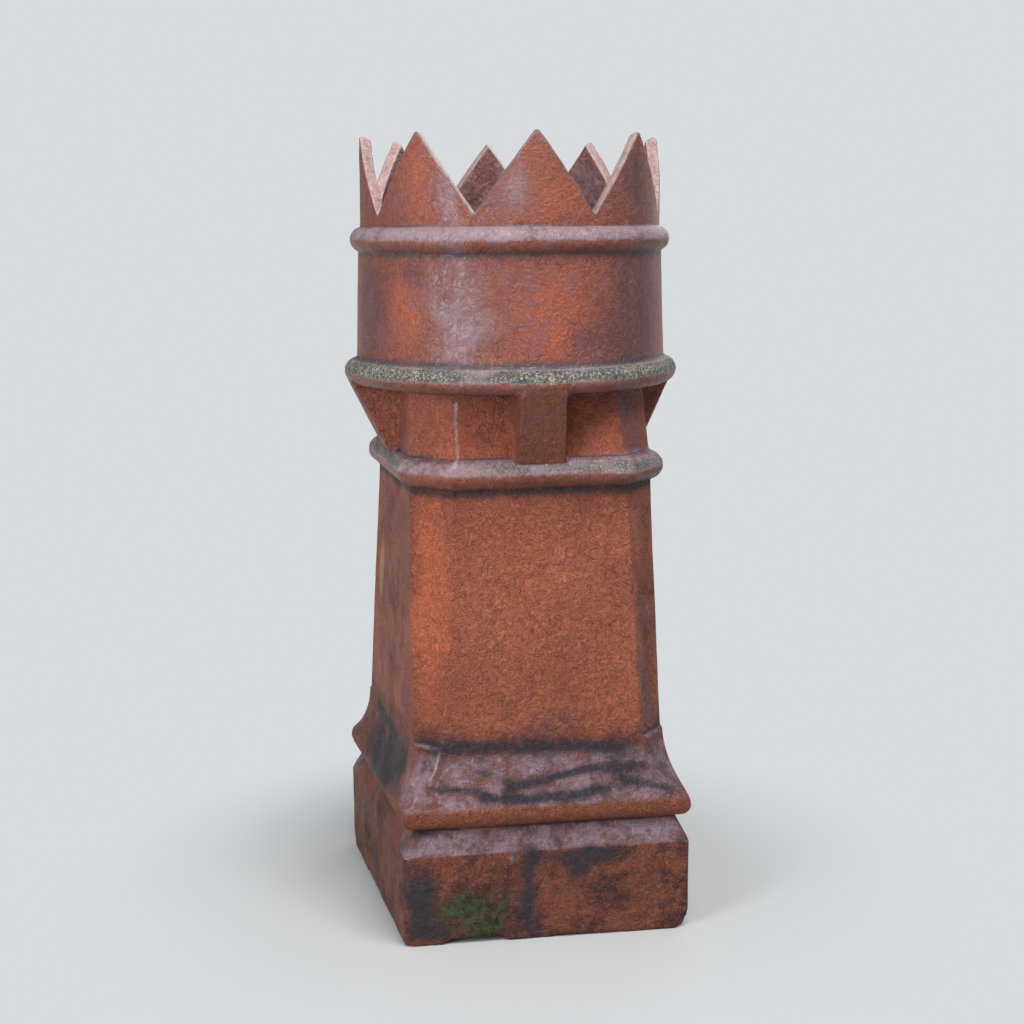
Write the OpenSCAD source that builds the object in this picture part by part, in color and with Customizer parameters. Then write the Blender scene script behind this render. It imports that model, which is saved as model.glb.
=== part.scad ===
// Crown-top chimney pot in fired clay, made as one hollow piece.
// From the ground up: square plinth, weathering, rounded lip, hollow flare, tapering shaft
// with its corners taken off, eight-sided roll, neck with four brackets, big round roll,
// round drum, upper roll and a crown of upright points.
// Millimetres. The pot stands on z = 0 round the z axis; its front faces -y.

/* [Plinth] */
// Side of the square plinth
plinth_w = 302; // [250:1:365]
// Height of the plinth's upright sides
plinth_h = 98; // [75:1:125]
// Height of the sloping weathering above the plinth
weathering_h = 26; // [16:1:34]
// How far the weathering slopes in on each side
weathering_in = 12.5; // [8:0.5:18]
// Thickness of the plinth's walls
plinth_wall = 21; // [16:1:27]

/* [Lip and flare] */
// How far the lip stands out past the plinth on each side
lip_out = 0.5; // [0:0.5:6]
// Height of the lip
lip_h = 23; // [18:1:30]
// Radius that rounds the lip's underside
lip_round = 12.5; // [8:0.5:15]
// Height of the hollow flare from the lip up to the shaft
flare_h = 65; // [50:1:85]
// How far the flare spreads from the shaft's foot on each side
flare_out = 16.5; // [10:0.5:22]
// Width of clay left square between the flare and the lip's edge
lip_quirk = 1; // [0.5:0.5:4]

/* [Shaft] */
// Height of the shaft from the flare to the underside of the eight-sided roll
shaft_h = 264; // [200:1:340]
// How far each side of the shaft leans in over its height
shaft_lean = 7.5; // [4:0.5:14]
// Leg of the corner taken off at the shaft's foot
corner_foot = 29; // [23:1:38]
// Leg of the corner taken off at the shaft's head
corner_head = 37; // [28:1:44]
// How far the corner's stop lies below the top of the flare
stop_down = 3; // [1:1:12]
// Leg of the corner just under its stop
stop_corner = 22; // [16:1:27]
// Thickness of the shaft's walls
wall = 16; // [12:1:20]

/* [Eight-sided roll and neck] */
// Radius of the eight-sided roll's round face
band_r = 16; // [13:0.5:19]
// How far the eight-sided roll stands out from the shaft's head
band_out = 12; // [8:0.5:12.5]
// Height of the neck from the roll's middle to the drum
neck_h = 84; // [68:1:102]
// How far each side of the neck leans in over its height
neck_lean = 4.5; // [1:0.5:9]

/* [Brackets] */
// Width of a bracket at its foot
bracket_foot_w = 50; // [40:1:60]
// Width of a bracket at its head
bracket_head_w = 45.5; // [36:0.5:56]
// How far a bracket stands out from the neck at its foot
bracket_foot_out = 7; // [4:0.5:9]
// How far a bracket's head stays back from the edge of the big roll
bracket_back = 5; // [3:0.5:10]

/* [Drum] */
// How far the drum's foot stands out from the neck's flats
drum_out = 43; // [38:0.5:52]
// Height of the drum from its underside to the middle of the upper roll
drum_h = 149; // [115:1:180]
// How much smaller in radius the drum is at its head
drum_lean = 5; // [1:0.5:9]
// Thickness of the drum's walls at its head
drum_wall = 15.5; // [12:0.5:20]
// Thickness of the ledge inside, under the drum
ledge_t = 16; // [12:1:22]
// Radius of the big round roll
big_roll_r = 12.5; // [10:0.5:15]
// Radius of the upper round roll
upper_roll_r = 13; // [10:0.5:15]
// How far the upper roll stands out from the crown
upper_roll_out = 11; // [7:0.5:12]

/* [Crown] */
// Number of points round the crown
points = 8; // [6:1:12]
// How far the crown's face lies inside the head of the drum
crown_in = 2; // [1:0.5:4]
// Height of solid wall between the upper roll's middle and the foot of the notches
crown_wall_h = 26; // [20:1:40]
// Height of a point above the foot of the notches
point_h = 79; // [60:1:98]
// Width of a point's blunt tip
tip_w = 4; // [2:0.5:8]
// Width of the flat at the foot of a notch
notch_flat = 3; // [1:0.5:6]
// How much the crown's wall thins from the notches to the tips
crown_thin = 2; // [0.5:0.5:4]

/* [Hidden] */
clay = [0.66, 0.36, 0.25];
$fn = 120;

// Heights of the levels, from the ground up
z_lip = plinth_h + weathering_h;
z_lip_top = z_lip + lip_h;
z_flare = z_lip_top + flare_h;
z_stop = z_flare - stop_down;
z_shaft = z_flare + shaft_h;
band_half = sqrt(band_r * band_r - (band_r - band_out) * (band_r - band_out));
z_band = z_shaft + band_half;
z_drum = z_band + neck_h;
z_big = z_drum + big_roll_r - 0.5;
z_upper = z_drum + drum_h;
z_notch = z_upper + crown_wall_h;
z_top = z_notch + point_h;

// Half-widths of the square parts, and radii of the round ones
plinth_x = plinth_w / 2;
under_lip_x = plinth_x - weathering_in;
lip_x = plinth_x + lip_out;
foot_x = lip_x - lip_quirk - flare_out;
head_x = foot_x - shaft_lean;
neck_x = head_x - neck_lean;
drum_r = neck_x + drum_out;
drum_head_r = drum_r - drum_lean;
bore_r = drum_head_r - drum_wall;
crown_r = drum_head_r - crown_in;

// The flare is an arc that starts upright on the shaft and ends at the lip
flare_r = (flare_out * flare_out + flare_h * flare_h) / (2 * flare_out);

// Distance from the axis of a corner's face, for flats at x with legs of c
function corner_at(x, c) = (2 * x - c) / sqrt(2);
corner_lip = lip_x * sqrt(2);
// Inside, the corners keep the same thickness of clay as the flats
function inside_leg(c) = c - wall * (2 - sqrt(2));

// Longer than anything it has to pass through
reach = 3 * plinth_w + 2 * drum_r;

// A profile drawn on the +x side, mirrored and carried right across at a turn about z
module across(turn) {
    rotate([90, 0, turn])
        linear_extrude(height = reach, center = true) {
            children();
            mirror([1, 0]) children();
        }
}

// The same profile on four sides, mitred at the corners
module four_sided() {
    intersection() {
        across(0) children();
        across(90) children();
    }
}

// One profile on the flats and another on the corners
module eight_sided() {
    intersection() {
        four_sided() children(0);
        rotate([0, 0, 45]) four_sided() children(1);
    }
}

module plinth_profile() {
    polygon([[0, 0], [plinth_x, 0], [plinth_x, plinth_h], [under_lip_x, z_lip], [0, z_lip]]);
}

module lip_profile() {
    translate([0, z_lip]) square([lip_x - lip_round, lip_h]);
    translate([0, z_lip + lip_round]) square([lip_x, lip_h - lip_round]);
    translate([lip_x - lip_round, z_lip + lip_round]) circle(r = lip_round);
}

module flare_profile() {
    difference() {
        translate([0, z_lip_top]) square([lip_x - lip_quirk, flare_h]);
        translate([foot_x + flare_r, z_flare]) circle(r = flare_r, $fn = 360);
    }
}

// Flats of the shaft and the neck, with the roll between them
module flats_profile() {
    polygon([[0, z_lip], [foot_x, z_lip], [foot_x, z_flare], [head_x, z_shaft],
             [head_x, z_band], [neck_x, z_drum + 1], [0, z_drum + 1]]);
    translate([head_x + band_out - band_r, z_band]) circle(r = band_r);
    translate([0, z_band - band_r]) square([head_x + band_out - band_r, 2 * band_r]);
}

// The same for the corners
module corners_profile() {
    foot = corner_at(foot_x, corner_foot);
    head = corner_at(head_x, corner_head);
    neck = corner_at(neck_x, corner_head);
    polygon([[0, z_lip], [foot, z_lip], [foot, z_flare], [head, z_shaft],
             [head, z_band], [neck, z_drum + 1], [0, z_drum + 1]]);
    translate([head + band_out - band_r, z_band]) circle(r = band_r);
    translate([0, z_band - band_r]) square([head + band_out - band_r, 2 * band_r]);
}

// Flare on its four sides, with its corners hollowed down to the lip below a small stop
module flare() {
    foot = corner_at(foot_x, corner_foot);
    stop = corner_at(foot_x, stop_corner);
    out = (lip_x - lip_quirk) * sqrt(2) - stop;
    down = z_stop - z_lip_top;
    r = (out * out + down * down) / (2 * out);
    eight_sided() {
        flare_profile();
        difference() {
            translate([0, z_lip_top]) square([corner_lip, flare_h]);
            translate([stop + r, z_stop]) circle(r = r);
            translate([foot, z_stop]) square([corner_lip, flare_h]);
        }
    }
}

module bracket() {
    slope = (drum_r + big_roll_r - bracket_back - neck_x - bracket_foot_out) / neck_h;
    face = neck_x + bracket_foot_out;
    intersection() {
        rotate([90, 0, -90])
            linear_extrude(height = reach, center = true)
                polygon([[neck_x / 2, z_band], [face, z_band],
                         [face + slope * (neck_h + 5), z_drum + 5], [neck_x / 2, z_drum + 5]]);
        rotate([90, 0, 0])
            linear_extrude(height = reach, center = true)
                polygon([[-bracket_foot_w / 2, z_band], [bracket_foot_w / 2, z_band],
                         [bracket_head_w / 2, z_drum + 5], [-bracket_head_w / 2, z_drum + 5]]);
    }
}

module round_roll(out, r, z) {
    rotate_extrude() translate([out - r, z]) circle(r = r);
}

// One notch of the crown, cut square through the wall
module notch() {
    rise = 1.3;
    run = crown_r * sin(180 / points) - tip_w / 2;
    rotate([90, 0, 0])
        linear_extrude(height = reach)
            polygon([[-notch_flat / 2, z_notch], [notch_flat / 2, z_notch],
                     [notch_flat / 2 + rise * (run - notch_flat / 2), z_notch + rise * point_h],
                     [-notch_flat / 2 - rise * (run - notch_flat / 2), z_notch + rise * point_h]]);
}

module crown() {
    difference() {
        translate([0, 0, z_upper]) cylinder(h = z_top - z_upper, r = crown_r);
        for (i = [0:points - 1])
            rotate([0, 0, (i + 0.5) * 360 / points]) notch();
    }
}

// The hollow under the plinth, drawn in to meet the shaft's
module plinth_hollow() {
    wide = plinth_x - plinth_wall;
    narrow = foot_x - wall;
    slope_h = (wide - narrow) * 1.5;
    top = z_lip - wall;
    four_sided()
        polygon([[0, -1], [wide, -1], [wide, top - slope_h], [narrow, top], [0, top]]);
}

// The hollow of the shaft and neck, eight-sided like the outside
module shaft_hollow() {
    start = z_lip - wall - 1;
    end = z_drum + ledge_t + 1;
    foot = foot_x - wall;
    head = head_x - wall;
    neck = neck_x - wall;
    eight_sided() {
        polygon([[0, start], [foot, start], [foot, z_flare], [head, z_shaft], [head, z_band],
                 [neck, z_drum], [neck, end], [0, end]]);
        polygon([[0, start], [corner_at(foot, inside_leg(corner_foot)), start],
                 [corner_at(foot, inside_leg(corner_foot)), z_flare],
                 [corner_at(head, inside_leg(corner_head)), z_shaft],
                 [corner_at(head, inside_leg(corner_head)), z_band],
                 [corner_at(neck, inside_leg(corner_head)), z_drum],
                 [corner_at(neck, inside_leg(corner_head)), end], [0, end]]);
    }
}

// The round hollow of the drum, opening a little inside the crown
module drum_hollow() {
    translate([0, 0, z_drum + ledge_t]) cylinder(h = z_notch - z_drum - ledge_t, r = bore_r);
    translate([0, 0, z_notch])
        cylinder(h = point_h + 1, r1 = bore_r, r2 = bore_r + crown_thin);
}

module chimney_pot() {
    color(clay)
        difference() {
            union() {
                four_sided() {
                    union() {
                        plinth_profile();
                        lip_profile();
                    }
                }
                flare();
                eight_sided() {
                    flats_profile();
                    corners_profile();
                }
                for (turn = [0:90:270]) rotate([0, 0, turn]) bracket_on_flat();
                translate([0, 0, z_drum]) cylinder(h = drum_h, r1 = drum_r, r2 = drum_head_r);
                round_roll(drum_r + big_roll_r, big_roll_r, z_big);
                round_roll(crown_r + upper_roll_out, upper_roll_r, z_upper);
                crown();
            }
            plinth_hollow();
            shaft_hollow();
            drum_hollow();
        }
}

// A bracket kept to the -y side of the pot
module bracket_on_flat() {
    intersection() {
        bracket();
        translate([-reach / 2, -reach, 0]) cube([reach, reach, z_top]);
    }
}

chimney_pot();
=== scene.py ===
"""Crown-top chimney pot in fired clay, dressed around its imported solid.

The pot is one piece of clay, so one closed mesh stands for its node. It is laid up ring by ring, from
the outside of the plinth up to the crown and down again inside, then given the lean, dents and chips of
a hand-pressed pot. Lichen and moss that grow on it are meshes of their own.
"""

import logging
import math
from dataclasses import dataclass, field
from enum import Enum
from typing import ClassVar

import bpy
import numpy as np
from mathutils import Matrix, Vector, noise


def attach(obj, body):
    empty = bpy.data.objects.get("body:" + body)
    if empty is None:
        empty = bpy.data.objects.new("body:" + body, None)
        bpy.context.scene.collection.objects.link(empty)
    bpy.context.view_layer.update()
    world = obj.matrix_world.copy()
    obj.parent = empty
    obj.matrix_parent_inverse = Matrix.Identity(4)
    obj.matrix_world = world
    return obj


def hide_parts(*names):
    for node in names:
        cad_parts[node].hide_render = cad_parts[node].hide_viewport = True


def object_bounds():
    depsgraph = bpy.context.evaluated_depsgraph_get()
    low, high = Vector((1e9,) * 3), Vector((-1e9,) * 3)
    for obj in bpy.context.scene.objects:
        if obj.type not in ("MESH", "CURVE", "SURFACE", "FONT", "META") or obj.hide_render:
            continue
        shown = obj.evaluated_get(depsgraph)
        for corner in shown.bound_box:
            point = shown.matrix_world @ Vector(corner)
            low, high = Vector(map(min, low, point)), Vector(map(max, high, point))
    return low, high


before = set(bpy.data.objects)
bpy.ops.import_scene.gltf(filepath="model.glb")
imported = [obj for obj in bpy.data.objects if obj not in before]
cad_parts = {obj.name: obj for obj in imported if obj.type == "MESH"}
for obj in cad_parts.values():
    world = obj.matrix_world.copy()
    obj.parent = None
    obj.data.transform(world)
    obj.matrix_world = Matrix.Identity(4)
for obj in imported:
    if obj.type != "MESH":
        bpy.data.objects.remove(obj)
CAD_LOW, CAD_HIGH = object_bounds()
LOG = logging.getLogger("chimney_pot")
ROOT = "root"
POT_NODE = "chimney_pot"
Colour = tuple[float, float, float]
Socket = bpy.types.NodeSocket


class Mark(Enum):
    """What can lie on the clay, each held in a vertex attribute of that name; some also carry painted
    light, painted sheen and painted shade.
    """

    BRIGHT_AND_PAINTED_LIGHT = "bright_and_painted_light"
    PLUM = "plum"
    DARK = "dark_and_shade"
    CHAR = "char"
    BLOOM = "bloom_and_sheen"
    EMBER = "ember"
    GLAZE = "glaze"
    CHALK = "chalk"
    LICHEN = "lichen"
    MOSS = "moss"
    SOOT = "soot"
    WORN = "worn"
    CREASE = "crease_shade_and_dirt"


@dataclass(frozen=True)
class PotSizes:
    """The pot's driving sizes in millimetres, as its solid has them."""

    plinth_half: float = 151.0
    plinth_h: float = 98.0
    weathering_h: float = 26.0
    weathering_in: float = 12.5
    plinth_wall: float = 21.0
    lip_out: float = 0.5
    lip_h: float = 23.0
    lip_round: float = 12.5
    flare_h: float = 65.0
    flare_out: float = 16.5
    lip_quirk: float = 1.0
    shaft_h: float = 264.0
    shaft_lean: float = 7.5
    foot_leg: float = 29.0
    head_leg: float = 37.0
    stop_leg: float = 22.0
    stop_down: float = 3.0
    wall: float = 16.0
    band_r: float = 16.0
    band_out: float = 12.0
    neck_h: float = 84.0
    neck_lean: float = 4.5
    bracket_foot: float = 25.0
    bracket_head: float = 22.75
    bracket_foot_out: float = 7.0
    bracket_back: float = 5.0
    bracket_foot_rise: float = 10.6
    bracket_head_rise: float = 2.6
    drum_out: float = 43.0
    drum_h: float = 149.0
    drum_lean: float = 5.0
    drum_wall: float = 15.5
    ledge: float = 16.0
    big_r: float = 12.5
    upper_r: float = 13.0
    upper_out: float = 11.0
    points: int = 8
    crown_in: float = 2.0
    crown_wall_h: float = 26.0
    point_h: float = 79.0
    tip_w: float = 4.0
    notch_flat: float = 3.0
    crown_thin: float = 2.0

    @property
    def lip_foot(self) -> float:
        """Height of the lip's underside."""
        return self.plinth_h + self.weathering_h

    @property
    def lip_top(self) -> float:
        """Height of the lip's upper edge."""
        return self.lip_foot + self.lip_h

    @property
    def flare_top(self) -> float:
        """Height at which the flare stands upright on the shaft."""
        return self.lip_top + self.flare_h

    @property
    def shaft_top(self) -> float:
        """Height of the underside of the eight-sided roll."""
        return self.flare_top + self.shaft_h

    @property
    def band(self) -> float:
        """Height of the eight-sided roll's middle."""
        return self.shaft_top + math.sqrt(self.band_r**2 - (self.band_r - self.band_out) ** 2)

    @property
    def drum_foot(self) -> float:
        """Height of the drum's underside."""
        return self.band + self.neck_h

    @property
    def big_roll(self) -> float:
        """Height of the big round roll's middle."""
        return self.drum_foot + self.big_r - 0.5

    @property
    def upper_roll(self) -> float:
        """Height of the upper round roll's middle."""
        return self.drum_foot + self.drum_h

    @property
    def notch(self) -> float:
        """Height of the foot of the crown's notches."""
        return self.upper_roll + self.crown_wall_h

    @property
    def top(self) -> float:
        """Height of the crown's tips."""
        return self.notch + self.point_h

    @property
    def lip_half(self) -> float:
        """Half-width of the lip."""
        return self.plinth_half + self.lip_out

    @property
    def foot_half(self) -> float:
        """Half-width of the shaft at its foot."""
        return self.lip_half - self.lip_quirk - self.flare_out

    @property
    def head_half(self) -> float:
        """Half-width of the shaft at its head."""
        return self.foot_half - self.shaft_lean

    @property
    def neck_half(self) -> float:
        """Half-width of the neck under the drum."""
        return self.head_half - self.neck_lean

    @property
    def drum_r(self) -> float:
        """Radius of the drum's foot."""
        return self.neck_half + self.drum_out

    @property
    def drum_head_r(self) -> float:
        """Radius of the drum's head."""
        return self.drum_r - self.drum_lean

    @property
    def bore_r(self) -> float:
        """Radius of the round hollow inside the drum."""
        return self.drum_head_r - self.drum_wall

    @property
    def crown_r(self) -> float:
        """Radius of the crown's outer face."""
        return self.drum_head_r - self.crown_in


@dataclass
class Ring:
    """One ring of the pot's surface, told as a square with its corners taken off and as a circle.

    The corner's leg is what is cut from a side at each corner, and soft is the radius of the arris.
    """

    height: float
    flat: float = 0.0
    leg: float = 0.0
    soft: float = 3.0
    radius: float = 0.0
    roundness: float = 0.0
    tied: float = 0.0
    crowned: float = 0.0
    wedge: float | None = None
    rise: float | None = None
    drop: float = 0.0
    inside: bool = False
    own_corners: float = 0.0


def grain(points: np.ndarray, size: float, shift: float = 0.0) -> np.ndarray:
    """Smooth noise from -1 to 1 at each point.

    Args:
        points: Places in millimetres, one a row.
        size: Width of the noise's lumps in millimetres.
        shift: Moves the pattern, so that two uses differ.

    Returns:
        One value for each point.
    """
    flat = (points.reshape(-1, 3) / size + shift).tolist()
    return np.array([noise.noise(p) for p in flat]).reshape(points.shape[:-1])


def smooth_step(value: np.ndarray | float, low: float, high: float) -> np.ndarray:
    """A smooth climb from 0 at low to 1 at high."""
    t = np.clip((np.asarray(value, float) - low) / (high - low), 0.0, 1.0)
    return t * t * (3.0 - 2.0 * t)


def normals(p: np.ndarray) -> np.ndarray:
    """Outward directions at points that are laid out by ring and stave.

    Args:
        p: The points.

    Returns:
        A direction of length 1 for each point.
    """
    along = np.roll(p, -1, 1) - np.roll(p, 1, 1)
    up = np.roll(p, -1, 0) - np.roll(p, 1, 0)
    n = np.cross(along, up)
    return n / np.maximum(np.linalg.norm(n, axis=-1, keepdims=True), 1e-9)


@dataclass
class Staves:
    """The upright lines of the mesh: the same roles in each eighth of the pot, turned and mirrored.

    From the middle of a side to the corner, an eighth holds a bracket's face, its arris, its flank and
    fillet, the open flat, the corner's arris and half of the corner's own face.
    """

    sizes: PotSizes
    face: int = 10
    arris: int = 14
    flank: int = 21
    fillet: int = 24
    flat: int = 38
    corner: int = 44
    count: int = 54
    tip_steps: int = 3
    notch_steps: int = 3
    bracket_round: float = 2.2
    bracket_draft: float = 6.0
    bracket_fillet: float = 3.0
    corner_extra: tuple[float, ...] = (4.0, 0.0, 0.0, -2.5)

    def __post_init__(self) -> None:
        """Works out each stave's role, side, sign and corner."""
        index = np.arange(8 * self.count)
        eighth, step = index // self.count, index % self.count
        odd = eighth % 2 == 1
        self.role = np.where(odd, self.count - step, step).astype(float)
        self.sign = np.where(odd, -1.0, 1.0)
        side = np.where(odd, (eighth + 1) // 2, eighth // 2) % 4
        turn = side * math.pi / 2
        self.out = np.stack([np.sin(turn), -np.cos(turn)], -1)
        self.along = np.stack([np.cos(turn), np.sin(turn)], -1)
        self.turn = turn
        self.extra = np.array(self.corner_extra)[eighth // 2]

    def tied_across(self, flat_end: np.ndarray, half: float) -> np.ndarray:
        """Distance from a side's middle when the staves follow a bracket of that half-width.

        Args:
            flat_end: Where the open flat ends, for each stave.
            half: Half-width of the bracket's face.

        Returns:
            The distance for each stave up to the end of the flat.
        """
        foot = half + self.bracket_draft
        known = np.interp(
            self.role,
            [0, self.face, self.arris, self.flank, self.fillet],
            [0, half - self.bracket_round, half, foot, foot + self.bracket_fillet],
        )
        share = (self.role - self.fillet) / (self.flat - self.fillet)
        open_flat = foot + self.bracket_fillet + share * (flat_end - foot - self.bracket_fillet)
        return np.where(self.role <= self.fillet, known, open_flat)

    def squared(self, ring: Ring, half: float) -> np.ndarray:
        """The ring as a square with its corners taken off.

        Args:
            ring: The ring to lay out.
            half: Half-width of the brackets at its height.

        Returns:
            x and y of each stave in millimetres.
        """
        leg = ring.leg + self.extra * ring.own_corners
        short = math.tan(math.pi / 8) * ring.soft
        flat_end = ring.flat - leg - short
        even = flat_end * self.role / self.flat
        across = even + ring.tied * (self.tied_across(flat_end, half) - even)
        out = np.full(len(across), ring.flat)
        bend = math.pi / 4 * np.clip((self.role - self.flat) / (self.corner - self.flat), 0, 1)
        on_arris = self.role > self.flat
        across = np.where(on_arris, flat_end + ring.soft * np.sin(bend), across)
        out = np.where(on_arris, ring.flat - ring.soft * (1 - np.cos(bend)), out)
        share = np.clip((self.role - self.corner) / (self.count - self.corner), 0, 1)
        on_corner = self.role > self.corner
        middle = ring.flat - leg / 2
        across = np.where(on_corner, across + share * (middle - across), across)
        out = np.where(on_corner, out + share * (middle - out), out)
        return self.out * out[:, None] + self.along * (self.sign * across)[:, None]

    def angles(self, crowned: float) -> np.ndarray:
        """Angle of each stave from the middle of its side on a round ring.

        Args:
            crowned: 0 where the staves follow the brackets, 1 where they follow the crown.

        Returns:
            Angles in radians, from 0 to an eighth of a turn.
        """
        s = self.sizes
        foot = s.bracket_head + self.bracket_draft
        reach = s.drum_r + s.big_r - s.bracket_back
        tied = np.interp(
            self.role,
            [0, self.face, self.arris, self.flank, self.fillet, self.flat, self.count],
            [
                0.0,
                (s.bracket_head - self.bracket_round) / reach,
                s.bracket_head / reach,
                foot / s.drum_r,
                (foot + self.bracket_fillet) / s.drum_r,
                math.atan2(s.neck_half - s.head_leg, s.neck_half),
                math.pi / 4,
            ],
        )
        tip = s.tip_w / 2 / s.crown_r
        valley = s.notch_flat / 2 / s.crown_r
        middle, half = math.pi / s.points, self.count // 2
        crown = np.interp(
            self.role,
            [
                0,
                self.tip_steps,
                half - self.notch_steps,
                half + self.notch_steps,
                self.count - self.tip_steps,
                self.count,
            ],
            [0, tip, middle - valley, middle + valley, 2 * middle - tip, 2 * middle],
        )
        return tied + crowned * (crown - tied)

    def rounded(self, ring: Ring) -> np.ndarray:
        """The ring as a circle.

        Args:
            ring: The ring to lay out.

        Returns:
            x and y of each stave in millimetres.
        """
        turn = self.turn + self.sign * self.angles(ring.crowned)
        return ring.radius * np.stack([np.sin(turn), -np.cos(turn)], -1)


@dataclass
class PotForm:
    """The pot's outline, worked out ring by ring from its sizes.

    A cut gives, ring by ring, how far the crown's rounded edge is from the wall's face and its top.
    """

    sizes: PotSizes
    arris: float = 3.0
    plinth_arris: float = 5.0
    plinth_worn: float = 3.0
    lip_arris: float = 2.5
    lip_step: float = 2.5
    lip_bow: float = 0.1
    bracket_head_turn: float = -49.0
    outer_cut: tuple[tuple[float, float], ...] = ((0.5, 0.9), (1.6, 0.15), (4.6, 0.0))
    inner_cut: tuple[tuple[float, float], ...] = ((4.0, 0.0), (1.5, 0.15), (0.4, 0.9))
    rings: list[Ring] = field(default_factory=list)

    def square_leg(self, soft: float) -> float:
        """Leg at which a square corner is wholly rounded to that radius."""
        return 2 * math.tan(math.pi / 8) * soft / math.sqrt(2)

    def plinth(self) -> None:
        """Adds the plinth's side, its worn edges and the sloping weathering."""
        s = self.sizes
        leg, soft = self.square_leg(self.plinth_arris), self.plinth_arris
        worn = self.plinth_worn
        for turn in (-90, -60, -30, 0):
            a = math.radians(turn)
            flat = s.plinth_half - worn + worn * math.cos(a)
            self.rings.append(Ring(worn + worn * math.sin(a), flat, leg, soft))
        for share in np.linspace(0.04, 0.97, 11) ** 1.15:
            self.rings.append(Ring(worn + share * (s.plinth_h - 2 * worn), s.plinth_half, leg, soft))
        slope = math.atan2(s.weathering_h, s.weathering_in)
        for share in (0.0, 0.5, 1.0):
            a = share * (math.pi / 2 - slope)
            height = s.plinth_h - worn / 2 + worn * math.sin(a)
            self.rings.append(Ring(height, s.plinth_half - worn * (1 - math.cos(a)), leg, soft))
        for share in np.linspace(0.14, 0.98, 6):
            flat = s.plinth_half - share * s.weathering_in
            self.rings.append(Ring(s.plinth_h + share * s.weathering_h, flat, leg, soft - 1.5))

    def lip(self) -> None:
        """Adds the lip: rounded underneath, upright at its edge."""
        s = self.sizes
        leg, soft = self.square_leg(self.lip_arris), self.lip_arris
        centre, level = s.lip_half - s.lip_round, s.lip_foot + s.lip_round
        for turn in np.linspace(-86, 0, 8):
            a = math.radians(turn)
            self.rings.append(
                Ring(level + s.lip_round * math.sin(a), centre + s.lip_round * math.cos(a), leg, soft)
            )
        for step in range(1, 5):
            flat = s.lip_half - self.lip_bow * step**2
            self.rings.append(Ring(level + self.lip_step * step, flat, leg, soft))

    def flare(self) -> None:
        """Adds the hollow flare, whose corners are hollowed up to a small stop."""
        s = self.sizes
        radius = (s.flare_out**2 + s.flare_h**2) / (2 * s.flare_out)
        corner_lip = (s.lip_half - s.lip_quirk) * math.sqrt(2)
        stop = s.flare_top - s.stop_down
        corner_stop = (2 * s.foot_half - s.stop_leg) / math.sqrt(2)
        out, down = corner_lip - corner_stop, stop - s.lip_top
        corner_radius = (out**2 + down**2) / (2 * out)
        least = self.square_leg(self.lip_arris)
        for share in np.linspace(0.09, 0.985, 18):
            height = s.lip_top + share * (stop - s.lip_top)
            flat = s.foot_half + radius - math.sqrt(radius**2 - (s.flare_top - height) ** 2)
            corner = corner_stop + corner_radius - math.sqrt(corner_radius**2 - (stop - height) ** 2)
            leg = max(least, 2 * flat - math.sqrt(2) * corner)
            own = float(smooth_step(share, 0.2, 1.0))
            self.rings.append(Ring(height, flat, leg, self.lip_arris, own_corners=own))
        for up, share in ((0.2, 0.35), (0.8, 0.8), (2.2, 1.0)):
            leg = s.stop_leg + share * (s.foot_leg - s.stop_leg)
            self.rings.append(Ring(stop + up, s.foot_half, leg, self.arris, own_corners=1.0))

    def shaft(self) -> None:
        """Adds the tapering shaft."""
        s = self.sizes
        for share in np.linspace(0.015, 0.985, 24):
            self.rings.append(
                Ring(
                    s.flare_top + share * s.shaft_h,
                    s.foot_half - share * s.shaft_lean,
                    s.foot_leg + share * (s.head_leg - s.foot_leg),
                    self.arris,
                    own_corners=1.0 - share,
                    tied=float(smooth_step(share, 0.7, 1.0)),
                )
            )

    def band_and_neck(self) -> None:
        """Adds the eight-sided roll, the neck and the drum's flat underside."""
        s = self.sizes
        centre = s.head_half + s.band_out - s.band_r
        corner = (2 * s.head_half - s.head_leg) / math.sqrt(2) + s.band_out - s.band_r
        edge = math.degrees(math.acos((s.head_half - centre) / s.band_r))
        for turn in np.linspace(-edge, edge, 17):
            a = math.radians(turn)
            flat = centre + s.band_r * math.cos(a)
            leg = 2 * flat - math.sqrt(2) * (corner + s.band_r * math.cos(a))
            height = s.band + s.band_r * math.sin(a)
            self.rings.append(Ring(height, flat, leg, self.arris, tied=1.0))
            if s.band_r * math.sin(a) < s.bracket_foot_rise:
                self.foot_ring = len(self.rings)
        low = s.band_r * math.sin(math.radians(edge)) / s.neck_h
        for share in np.linspace(low + 0.02, 0.985, 13):
            flat = s.head_half - share * s.neck_lean
            self.rings.append(Ring(s.band + share * s.neck_h, flat, s.head_leg, self.arris, tied=1.0))
        for share in (0.03, 0.16, 0.36, 0.58, 0.8, 0.94):
            self.rings.append(
                Ring(s.drum_foot, s.neck_half, s.head_leg, self.arris, s.drum_r, share, tied=1.0)
            )

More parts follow.
